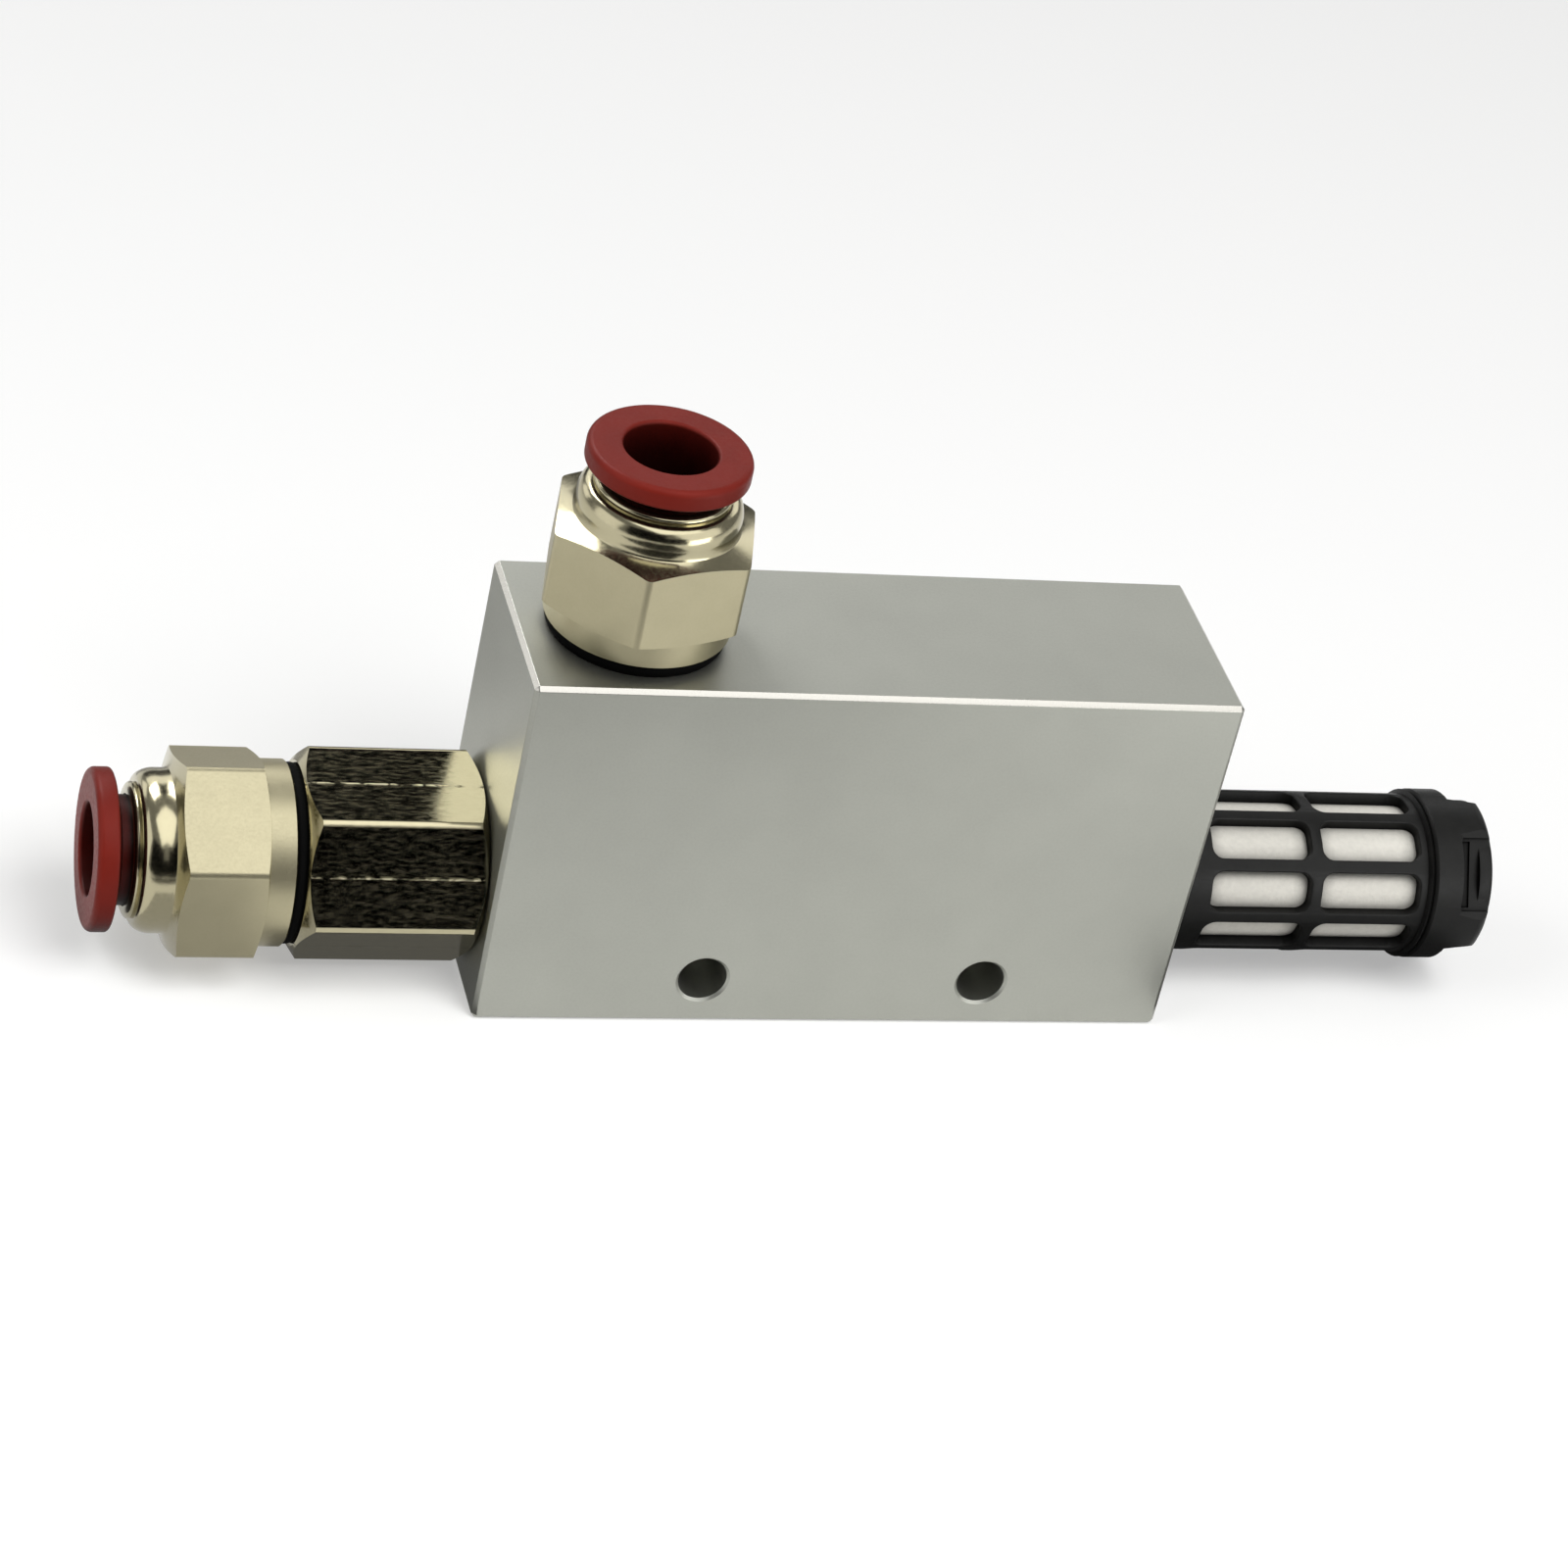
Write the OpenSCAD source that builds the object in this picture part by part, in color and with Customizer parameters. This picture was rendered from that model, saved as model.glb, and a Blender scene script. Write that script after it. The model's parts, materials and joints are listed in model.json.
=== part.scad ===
// Inline vacuum ejector: an aluminium block with a jet nozzle and a diffuser inside,
// a push-in fitting for the air supply, a push-in fitting for the vacuum line and a
// silencer on the exhaust. The origin is the centre of the block's base. Air flows
// towards +X and the vacuum port points up.

/* [Block] */
// Length of the block along the air path
block_length = 65; // [63:1:90]
// Depth of the block from front to back
block_depth = 20; // [19:0.5:30]
// Height of the block
block_height = 36; // [34:1:50]
// Chamfer along every edge of the block
block_chamfer = 0.4; // [0.2:0.1:1]
// Height of the air path above the base
axis_height = 10.7; // [10.5:0.1:14]
// Distance from the supply end to the vacuum port
vacuum_port_offset = 10.7; // [9.5:0.1:11]
// Depth of the threaded supply port
supply_port_depth = 9; // [8.5:0.5:9]
// Depth of the threaded vacuum port
vacuum_port_depth = 9.5; // [8.5:0.5:12]
// Depth of the threaded exhaust port
exhaust_port_depth = 13; // [11:0.5:13]
// Chamfer at the mouth of each threaded port
port_chamfer = 0.4; // [0.2:0.1:0.6]
// Diameter of the drilled passage from the vacuum port to the chamber
suction_bore_d = 7; // [5:0.5:7]
// Diameter of the vacuum chamber
chamber_d = 11; // [10:0.1:12]
// Distance from the supply end to the end wall of the vacuum chamber
chamber_reach = 17.4; // [17:0.1:17.6]

/* [Mounting holes] */
// Diameter of the two mounting holes
mount_hole_d = 4.5; // [3.2:0.1:4.8]
// Distance between the two mounting holes
mount_hole_spacing = 26.4; // [22:0.1:27]
// Distance from the supply end to the first mounting hole
mount_hole_offset = 20.6; // [20.5:0.1:21.2]
// Height of the mounting holes above the base
mount_hole_height = 4.75; // [4:0.05:4.8]
// Chamfer at the rim of each mounting hole
mount_hole_chamfer = 0.25; // [0.1:0.05:0.5]

/* [Port threads] */
// Major diameter of the quarter-inch parallel pipe thread
thread_d = 13.15; // [12.6:0.05:13.3]
// Radial gap between a screwed piece and its port
thread_gap = 0.05; // [0.02:0.01:0.1]
// Chamfer on the leading end of each screwed piece
thread_chamfer = 0.8; // [0.4:0.1:1.2]
// Diameter of the thread undercut, where a port seal sits
undercut_d = 11.9; // [11.4:0.1:12.2]
// Length of the thread undercut
undercut_length = 1.6; // [1.2:0.1:2]

/* [Port seals] */
// Outside diameter of the squeezed port seals
port_seal_d = 16.1; // [15:0.1:16.4]
// Section diameter of the port seals before they are squeezed
port_seal_section = 1.8; // [1.5:0.05:1.9]
// Gap that the supply fitting's seal fills
supply_seal_gap = 0.95; // [0.6:0.05:1.3]
// Gap that the vacuum fitting's seal fills
vacuum_seal_gap = 1.15; // [0.6:0.05:1.3]
// Outside diameter of the holder's squeezed seal
holder_seal_d = 15.2; // [15:0.1:15.4]
// Section diameter of the holder's seal before it is squeezed
holder_seal_section = 1.4; // [1.3:0.05:1.5]
// Height that the holder's seal fills
holder_seal_gap = 1; // [0.9:0.05:1.1]

/* [Nozzle holder] */
// Width across flats of the holder's hexagon
holder_hex_af = 17; // [17:0.5:19]
// Length of the holder's hexagon
holder_length = 16.1; // [14:0.1:20]
// Gap between the holder's hexagon and the block
holder_gap = 0.1; // [0.05:0.05:0.3]
// Slope of the holder's corner chamfers, from the end plane
holder_chamfer_angle = 34; // [20:1:45]
// Diameter of the flat ring at each end of the holder
holder_face_d = 16.5; // [16.2:0.1:16.8]
// Turn of the holder's hexagon about the air path
holder_hex_turn = 82.5; // [0:0.5:120]
// Length of the holder's male thread
holder_thread_length = 8; // [6:0.5:8]
// Depth of the holder's threaded fitting port
holder_port_depth = 10; // [9.7:0.1:11]

/* [Nozzle and diffuser] */
// Shank diameter of the nozzle
nozzle_d = 6.9; // [6.5:0.1:8]
// Head diameter of the nozzle
nozzle_head_d = 10; // [9:0.1:11]
// Head height of the nozzle
nozzle_head_height = 1.8; // [1.2:0.1:2]
// Width of the screwdriver slot in the nozzle's head
nozzle_slot_w = 1; // [0.6:0.1:1.4]
// Depth of the screwdriver slot
nozzle_slot_depth = 0.9; // [0.5:0.1:1.1]
// Inlet bore of the nozzle
nozzle_inlet_d = 3.8; // [3:0.1:4]
// Throat of the nozzle
nozzle_throat_d = 1.5; // [1:0.1:2]
// Mouth of the nozzle's flared outlet
nozzle_outlet_d = 2; // [2:0.1:2.4]
// Outside diameter of the nozzle's tip
nozzle_tip_d = 3.4; // [3:0.1:4]
// Chamfer on the nozzle's head
nozzle_head_chamfer = 0.3; // [0.1:0.1:0.5]
// Length of the nozzle's flared outlet
nozzle_flare_length = 1.2; // [0.8:0.1:1.6]
// Length of the nozzle's throat
nozzle_throat_length = 0.8; // [0.4:0.1:1.2]
// Length of the nozzle's tapered end
nozzle_cone_length = 5.8; // [4.5:0.1:6]
// Distance from the supply end to the middle of the nozzle's seal ring
nozzle_groove_depth = 1.5; // [1:0.1:2.5]
// Distance from the nozzle's tip to the diffuser
jet_gap = 0.3; // [0.2:0.1:1]
// Outside diameter of the diffuser tube
diffuser_d = 6; // [5.6:0.1:6.2]
// Radial gap around the diffuser and around the nozzle's shank
sleeve_gap = 0.02; // [0.01:0.01:0.05]
// Length of the diffuser's flange
diffuser_flange_length = 2.8; // [2.6:0.1:3.2]
// Mouth of the diffuser's inlet cone
diffuser_mouth_d = 6.8; // [6:0.1:7]
// Throat of the diffuser
diffuser_throat_d = 2.6; // [2:0.1:3]
// Distance from the diffuser's face to the start of its throat
diffuser_cone_length = 4.5; // [3.5:0.5:6]
// Length of the diffuser's throat
diffuser_throat_length = 9.5; // [7:0.5:12]
// Distance from the diffuser's tail to the exhaust port
diffuser_tail_gap = 0.5; // [0.2:0.1:1]
// Outlet bore of the diffuser
diffuser_outlet_d = 4.6; // [4:0.1:4.8]
// Section of the nozzle's seal ring
nozzle_seal_section = 0.85; // [0.7:0.05:1]
// Section of the diffuser's seal ring
diffuser_seal_section = 1.2; // [1:0.05:1.3]

/* [Push-in fittings] */
// Outside diameter of the tube that the fittings take
tube_d = 8; // [6:0.5:8]
// Radial gap between the tube and its socket
tube_gap = 0.05; // [0.03:0.01:0.1]
// Width across flats of the fittings' hexagon
hex_af = 17; // [17:0.5:19]
// Turn of the supply fitting's hexagon about its axis
supply_hex_turn = 54; // [0:0.5:60]
// Turn of the vacuum fitting's hexagon about its axis
vacuum_hex_turn = 15; // [0:0.5:60]
// Length of the male thread below the port's face
fitting_thread_length = 7.5; // [6:0.1:7.5]
// Diameter of the round flange under the hexagon
flange_d = 16.6; // [16.3:0.1:16.9]
// Length of the round flange
flange_length = 2.35; // [1.8:0.05:2.8]
// Height of the hexagon's top above the flange's face
hex_top = 10.2; // [9.8:0.1:11]
// Slope of the hexagon's end cones, from the end plane
hex_cone_angle = 17; // [8:1:30]
// Width across flats of the key socket in the air passage
key_socket_af = 5.8; // [5:0.1:6]
// Length of the key socket
key_socket_length = 4.5; // [3:0.5:6]
// Ledge between the key socket's flats and the round passage
key_ledge = 0.1; // [0.05:0.05:0.4]
// Length of the tube's close-fitting socket
tube_socket_length = 3.9; // [3:0.1:4]
// Height of the tube's stop above the flange's face
tube_stop = 0.4; // [0.2:0.1:0.8]
// Length of the tube seal
tube_seal_length = 2.7; // [2:0.1:2.8]
// Radial thickness of the tube seal
tube_seal_width = 1.3; // [1.1:0.1:1.4]
// Radial squeeze of the seal's inner lip on the tube
seal_squeeze = 0.15; // [0.05:0.05:0.2]
// Radial gap between the seal's heel and the tube
seal_heel_gap = 0.25; // [0.1:0.05:0.35]
// Thickness of the seal's lips at their tips
seal_lip = 0.3; // [0.2:0.05:0.35]
// Depth of the valley between the seal's lips
seal_valley = 1.2; // [0.6:0.1:1.6]
// Wall of the body around the guide ring
mouth_wall = 0.5; // [0.4:0.05:0.6]
// Radial swell of the dome below the body's mouth
dome_swell = 0.95; // [0.7:0.05:1.1]
// Height of the dome
dome_height = 1.75; // [1.5:0.05:2]
// Height of the neck between the hexagon and the dome
neck_height = 1.1; // [0.6:0.05:1.3]
// Radial step from the dome's foot out to the neck
neck_step = 0.25; // [0.1:0.05:0.3]
// Radial flare of the neck down to the hexagon
neck_flare = 0.35; // [0.1:0.05:0.5]
// Rounding of the neck's upper edge
neck_rounding = 0.2; // [0.1:0.05:0.3]
// Height of the crease between the neck and the dome
crease_height = 0.15; // [0.1:0.05:0.3]
// Depth of the crease between the neck and the dome
crease_depth = 0.1; // [0.05:0.05:0.2]
// Wall of the guide ring around the stem's bead
guide_wall = 0.4; // [0.3:0.05:0.5]

/* [Release rings] */
// Wall of the release ring's stem
stem_wall = 0.75; // [0.6:0.05:0.85]
// Radial gap between the tube and the release ring
release_bore_gap = 0.12; // [0.1:0.01:0.15]
// Radial running gap between the stem and the guide ring
stem_gap = 0.08; // [0.05:0.01:0.09]
// Travel of the release ring when it is pressed
release_travel = 0.8; // [0.6:0.1:1]
// Outside diameter of the release ring's flange
release_flange_d = 14.5; // [13:0.1:15]
// Thickness of the release ring's flange at its edge
release_flange_edge = 1.95; // [1.4:0.05:2.4]
// Rise of the flange's underside from its stem to its edge
release_flange_taper = 0.5; // [0.4:0.1:1]
// Rounding of the flange's outer edge
release_rounding = 0.6; // [0.3:0.1:0.7]
// Rounding of the mouth where the tube enters
mouth_rounding = 0.35; // [0.2:0.05:0.5]
// Clearance between the flange's underside and the guide ring at full travel
press_clearance = 0.05; // [0.05:0.05:0.3]
// Height of the nose cone on the stem's end
nose_height = 0.85; // [0.6:0.05:1]
// Thickness of the stem's wall at the tip of the nose
nose_tip_wall = 0.03; // [0.02:0.01:0.1]
// Distance from the tip of the nose to the retaining bead
bead_offset = 1.15; // [1.05:0.05:1.4]
// Height of the retaining bead on the stem
bead_height = 0.6; // [0.4:0.1:0.7]
// Radial reach of the retaining bead
bead_reach = 0.35; // [0.25:0.05:0.35]
// Clearance between the bead and the guide ring's shoulder
bead_clearance = 0.05; // [0.02:0.01:0.1]
// Rise of the bead's lead-in
bead_lead = 0.2; // [0.1:0.05:0.3]
// Rounding of the flange's underside at its edge
release_under_rounding = 0.3; // [0.1:0.05:0.4]
// Distance from the body's mouth down to the ends of the slots
stem_slot_end = 0.5; // [0.3:0.1:1.5]
// Turn of the slots about the stem
stem_slot_turn = 45; // [0:5:90]
// Number of slots that let the stem's end spring
stem_slot_count = 4; // [3:1:6]
// Width of each slot
stem_slot_w = 0.9; // [0.6:0.1:1.2]
// Height of the guide ring's lip above the body's mouth
lip_height = 0.7; // [0.6:0.05:1]
// Radial reach of the lip over the body's mouth
lip_reach = 0.35; // [0.2:0.05:0.4]
// Height of the lip's plain edge
lip_edge = 0.25; // [0.1:0.05:0.3]
// Width of the flat ring on the lip's top
lip_flat = 0.2; // [0.1:0.05:0.3]
// Step from the lip's edge in to the body's mouth
lip_step = 0.1; // [0.05:0.05:0.15]
// Thickness of the lock claws' steel
claw_thickness = 0.25; // [0.2:0.05:0.3]
// Distance that the claws' tips hang below their ring
claw_tip_drop = 0.75; // [0.5:0.05:0.9]
// Clearance between the tube seal and the claws' tips
claw_clearance = 0.45; // [0.3:0.05:0.8]
// Radial distance from the tube to the claws' tips
claw_tip_gap = 0.25; // [0.15:0.05:0.3]
// Radial length of the claws
claw_length = 0.85; // [0.7:0.05:0.9]
// Number of lock claws
claw_count = 10; // [6:1:12]
// Width of the slot between two claws
claw_slot_w = 0.5; // [0.3:0.05:0.8]
// Reach of those slots into the claws' ring
claw_slot_reach = 0.1; // [0.05:0.05:0.2]

/* [Silencer] */
// Outside diameter of the silencer's cage
cage_d = 15; // [14.6:0.1:16]
// Outside diameter of the porous element
element_d = 12.8; // [12.2:0.1:13.2]
// Bore of the porous element
element_bore_d = 7; // [6:0.5:8]
// Gap around the porous element
element_gap = 0.05; // [0.02:0.01:0.15]
// Length of the cage's male thread
cage_thread_length = 10; // [8:0.5:10]
// Bore of the cage's threaded end
cage_bore_d = 9; // [8:0.1:9.4]
// Thickness of the cage's floor above the block's face
cage_floor = 1.5; // [1:0.1:2]
// Length of the plain band at the cage's foot
cage_foot = 3.5; // [2.5:0.1:4]
// Length of each row of windows
window_length = 9.8; // [8:0.1:12]
// Length of the band between the two rows of windows
cage_band = 1.2; // [1:0.1:3]
// Length of the plain collar under the cap
cage_collar = 1.3; // [1.3:0.1:3]
// Outside diameter of the rim at the collar's end
cage_rim_d = 15.9; // [15.4:0.1:16]
// Length of that rim
cage_rim_length = 0.6; // [0.4:0.1:0.7]
// Length of the slope up to that rim
cage_rim_lead = 0.4; // [0.2:0.1:0.5]
// Number of ribs around the cage
rib_count = 9; // [6:1:12]
// Turn of the windows about the air path
window_turn = 80; // [0:1:120]
// Width of each rib
rib_width = 1.25; // [1:0.05:2]
// Corner radius of the windows
window_corner = 1.1; // [0.3:0.1:1.1]
// Rounding of the cage's outer edges beside the cap
parting_chamfer = 0.3; // [0.1:0.05:0.5]

/* [Silencer cap] */
// Outside diameter of the cap
cap_d = 16; // [15.6:0.1:17]
// Length of the cap beyond the cage
cap_length = 6.1; // [5.5:0.1:8]
// Rounding of the cap's end
cap_rounding = 0.8; // [0.3:0.1:1]
// Length of the cap's full rim before the grip flats
cap_rim = 2.8; // [2.5:0.1:4]
// Number of grip flats around the cap's end
flat_count = 4; // [2:1:6]
// Distance between opposite grip flats where they start
flat_af = 14.1; // [13.4:0.1:15]
// Inward lean of the grip flats
flat_lean = 7; // [0:1:10]
// Turn of the grip flats about the air path
flat_turn = 54; // [0:1:90]
// Diameter of the cap's end disc
disc_d = 14; // [13:0.1:15]
// Height of the end disc
disc_height = 1.4; // [1:0.1:2]
// Rounding of the end disc's edge
disc_rounding = 0.4; // [0.2:0.1:0.6]
// Rise of the end disc beyond the cap's wall
disc_rise = 0.2; // [0.1:0.05:0.4]
// Width of the finger grip's groove at the foot of each flat
grip_groove_w = 6.2; // [4:0.1:6.6]
// Length of that groove along the cap
grip_groove_length = 1.1; // [0.5:0.1:1.2]
// Depth of that groove below the flat
grip_groove_depth = 0.6; // [0.3:0.1:0.8]
// Length of the cap's spigot inside the cage
spigot_length = 1.1; // [0.8:0.1:1.2]
// Diameter of the hollow under the cap
cap_hollow_d = 7; // [5:0.5:8]

/* [Hidden] */
$fn = 96;
eps = 0.01;

// Places of the ports on the block
supply_face_x = -block_length / 2;
exhaust_face_x = block_length / 2;
vacuum_x = supply_face_x + vacuum_port_offset;
port_r = thread_d / 2 + thread_gap;
diffuser_bore_r = diffuser_d / 2 + sleeve_gap;

// The holder's stations, measured out from the block's supply face
holder_face = holder_gap + holder_length;
holder_recess_r = holder_seal_d / 2 + 0.25;
nozzle_seat = holder_face - holder_port_depth;
nozzle_bore_r = nozzle_d / 2 + sleeve_gap;
diffuser_face = -(chamber_reach - diffuser_flange_length);
nozzle_tip = diffuser_face + jet_gap;
nozzle_top = nozzle_seat + nozzle_head_height;

// The push-in fitting's stations, measured out from its flange's face
tube_r = tube_d / 2;
socket_r = tube_r + tube_gap;
socket_end = tube_stop + tube_socket_length;
seal_r = socket_r + tube_seal_width;
seal_end = socket_end + tube_seal_length;
seal_fit = 0.02;
seal_edge = 0.2;
groove_share = 1.25;
stem_bore_r = tube_r + release_bore_gap;
stem_r = stem_bore_r + stem_wall;
guide_bore_r = stem_r + stem_gap;
bead_r = stem_r + bead_reach;
guide_recess_r = bead_r + stem_gap;
guide_r = guide_recess_r + guide_wall;
mouth_r = guide_r + mouth_wall;
dome_r = mouth_r + dome_swell;
neck_r = dome_r + neck_step;
neck_foot_r = neck_r + neck_flare;
neck_end = hex_top + neck_height;
dome_start = neck_end + crease_height;
mouth = dome_start + dome_height;
claw_tip = seal_end + claw_clearance;
claw_seat = claw_tip + claw_tip_drop;
claw_top = claw_seat + claw_thickness;
claw_tip_r = tube_r + claw_tip_gap;
claw_ring_r = claw_tip_r + claw_length;
lip_end = mouth + lip_height;
release_under = lip_end + release_travel + press_clearance + release_flange_taper;
release_face = release_under + release_flange_edge;
nose_tip = claw_tip + claw_thickness + release_travel;
bead_base = nose_tip + bead_offset;
guide_shoulder = bead_base + bead_height + bead_clearance;

// The silencer's stations, measured out from the block's exhaust face
window_start_1 = cage_foot;
window_start_2 = cage_foot + window_length + cage_band;
cage_end = window_start_2 + window_length + cage_collar;
element_end = cage_end - spigot_length;
cap_wall_end = cage_end + cap_length;

// Points on an arc about (cx, cy) from angle a to angle b
function arc(cx, cy, r, a, b, steps = 8) =
    [for (i = [0:steps]) [cx + r * cos(a + (b - a) * i / steps), cy + r * sin(a + (b - a) * i / steps)]];

// Place a piece that is drawn along +Z at one of the three ports
module at_supply() translate([supply_face_x, 0, axis_height]) rotate([0, -90, 0]) children();
module at_holder() translate([supply_face_x - holder_face, 0, axis_height]) rotate([0, -90, 0]) children();
module at_exhaust() translate([exhaust_face_x, 0, axis_height]) rotate([0, 90, 0]) children();
module at_vacuum() translate([vacuum_x, 0, block_height]) children();

// A solid turned about Z from its half section
module turned(points) rotate_extrude() polygon(points);

// A hexagon bar from z1 to z2
module hex_bar(af, z1, z2) translate([0, 0, z1]) cylinder(d = af / cos(30), h = z2 - z1, $fn = 6);

// A male thread's blank from its leading end up to a shoulder, with an undercut at the shoulder
module thread_blank(from, to) {
    r = thread_d / 2;
    turned([
        [0, from], [r - thread_chamfer, from], [r, from + thread_chamfer], [r, to - undercut_length],
        [undercut_d / 2, to - undercut_length], [undercut_d / 2, to + eps], [0, to + eps]
    ]);
}

// A squeezed seal ring between a port's face and the shoulder above it
module port_seal(gap, outside = port_seal_d, section = port_seal_section) {
    intersection() {
        translate([0, 0, gap / 2]) rotate_extrude()
            translate([outside / 2 - section / 2, 0]) circle(d = section);
        cylinder(d = outside + 2, h = gap);
    }
}

// A box with every edge chamfered
module chamfered_box(size, c) {
    intersection() {
        linear_extrude(size.z) chamfered_rectangle(size.x, size.y, c);
        translate([0, size.y / 2, size.z / 2]) rotate([90, 0, 0])
            linear_extrude(size.y) chamfered_rectangle(size.x, size.z, c);
        translate([-size.x / 2, 0, size.z / 2]) rotate([90, 0, 90])
            linear_extrude(size.x) chamfered_rectangle(size.y, size.z, c);
    }
}

module chamfered_rectangle(w, h, c) {
    polygon([
        [-w / 2 + c, -h / 2], [w / 2 - c, -h / 2], [w / 2, -h / 2 + c], [w / 2, h / 2 - c],
        [w / 2 - c, h / 2], [-w / 2 + c, h / 2], [-w / 2, h / 2 - c], [-w / 2, -h / 2 + c]
    ]);
}

// A threaded port's bore going down from z = 0, with its mouth chamfered
module port_bore(depth) {
    translate([0, 0, -depth]) cylinder(r = port_r, h = depth + 1);
    flare = port_chamfer + eps;
    translate([0, 0, -port_chamfer]) cylinder(r1 = port_r, r2 = port_r + flare, h = flare);
}

module mount_hole() {
    reach = block_depth / 2;
    c = mount_hole_chamfer;
    rotate([90, 0, 0]) {
        cylinder(d = mount_hole_d, h = block_depth + 2, center = true);
        for (side = [0, 180]) rotate([side, 0, 0]) translate([0, 0, reach - c])
            cylinder(d1 = mount_hole_d, d2 = mount_hole_d + 2 * (c + eps), h = c + eps);
    }
}

module ejector_block() color("#a8aaa4") difference() {
    chamfered_box([block_length, block_depth, block_height], block_chamfer);
    at_supply() port_bore(supply_port_depth);
    at_supply() translate([0, 0, -chamber_reach]) cylinder(d = chamber_d, h = chamber_reach);
    at_supply() translate([0, 0, -block_length + 1]) cylinder(r = diffuser_bore_r, h = block_length - 2);
    at_exhaust() port_bore(exhaust_port_depth);
    at_vacuum() port_bore(vacuum_port_depth);
    translate([vacuum_x, 0, axis_height]) cylinder(d = suction_bore_d, h = block_height - axis_height);
    for (i = [0, 1])
        translate([supply_face_x + mount_hole_offset + i * mount_hole_spacing, 0, mount_hole_height])
            mount_hole();
}

// A hexagon nut's outline with a cone on each end
module coned_hex(af, z1, z2, face_d, angle) {
    reach = af / cos(30) / 2 + 1;
    slope = tan(angle);
    intersection() {
        hex_bar(af, z1, z2);
        turned([
            [0, z1], [face_d / 2, z1], [reach, z1 + (reach - face_d / 2) * slope],
            [reach, z2 - (reach - face_d / 2) * slope], [face_d / 2, z2], [0, z2]
        ]);
    }
}

module nozzle_holder() color("#b9b4a2") at_supply() difference() {
    union() {
        difference() {
            rotate([0, 0, holder_hex_turn])
                coned_hex(holder_hex_af, holder_gap, holder_face, holder_face_d, holder_chamfer_angle);
            cylinder(r = holder_recess_r, h = holder_seal_gap);
        }
        thread_blank(-holder_thread_length, holder_seal_gap);
    }
    translate([0, 0, holder_face]) port_bore(holder_port_depth);
    translate([0, 0, -holder_thread_length - 1])
        cylinder(r = nozzle_bore_r, h = nozzle_seat + holder_thread_length + 2);
}

module holder_seal() color("#1d1d1b")
    at_supply() port_seal(holder_seal_gap, holder_seal_d, holder_seal_section);

module nozzle() color("#c9a24d") at_supply() difference() {
    turned([
        [0, nozzle_tip], [nozzle_tip_d / 2, nozzle_tip],
        [nozzle_d / 2, nozzle_tip + nozzle_cone_length], [nozzle_d / 2, nozzle_seat],
        [nozzle_head_d / 2, nozzle_seat], [nozzle_head_d / 2, nozzle_top - nozzle_head_chamfer],
        [nozzle_head_d / 2 - nozzle_head_chamfer, nozzle_top], [0, nozzle_top]
    ]);
    turned([
        [0, nozzle_tip - 1], [nozzle_outlet_d / 2, nozzle_tip - 1], [nozzle_outlet_d / 2, nozzle_tip],
        [nozzle_throat_d / 2, nozzle_tip + nozzle_flare_length],
        [nozzle_throat_d / 2, nozzle_tip + nozzle_flare_length + nozzle_throat_length],
        [nozzle_inlet_d / 2, nozzle_tip + nozzle_cone_length], [nozzle_inlet_d / 2, nozzle_top + 1],
        [0, nozzle_top + 1]
    ]);
    translate([0, 0, -nozzle_groove_depth]) seal_groove(nozzle_bore_r, nozzle_seal_section);
    translate([-nozzle_head_d, -nozzle_slot_w / 2, nozzle_top - nozzle_slot_depth])
        cube([2 * nozzle_head_d, nozzle_slot_w, nozzle_slot_depth + 1]);
}

// A square groove about z = 0 for a seal ring that reaches out to radius r
module seal_groove(r, section) {
    width = section * groove_share;
    rotate_extrude() translate([r - section, -width / 2]) square([section + 1, width]);
}

// A round seal ring about z = 0 that just fills its groove
module seal_ring(r, section) rotate_extrude() translate([r - section / 2, 0]) circle(d = section);

module nozzle_seal() color("#1d1d1b")
    at_supply() translate([0, 0, -nozzle_groove_depth]) seal_ring(nozzle_bore_r, nozzle_seal_section);

module diffuser() color("#c9a24d") at_supply() {
    tail = -(block_length - exhaust_port_depth + diffuser_tail_gap);
    throat_start = diffuser_face - diffuser_cone_length;
    flange_r = chamber_d / 2 - sleeve_gap;
    difference() {
        turned([
            [0, tail], [diffuser_d / 2, tail], [diffuser_d / 2, -chamber_reach],
            [flange_r, -chamber_reach], [flange_r, diffuser_face], [0, diffuser_face]
        ]);
        turned([
            [0, tail - 1], [diffuser_outlet_d / 2, tail - 1], [diffuser_outlet_d / 2, tail],
            [diffuser_throat_d / 2, throat_start - diffuser_throat_length],
            [diffuser_throat_d / 2, throat_start],
            [diffuser_mouth_d / 2, diffuser_face], [diffuser_mouth_d / 2, diffuser_face + 1],
            [0, diffuser_face + 1]
        ]);
        translate([0, 0, diffuser_face - diffuser_flange_length / 2])
            seal_groove(chamber_d / 2, diffuser_seal_section);
    }
}

module diffuser_seal() color("#1d1d1b") at_supply()
    translate([0, 0, diffuser_face - diffuser_flange_length / 2])
        seal_ring(chamber_d / 2, diffuser_seal_section);

// The push-in fitting's pieces, drawn with the flange's face at z = 0

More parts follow.
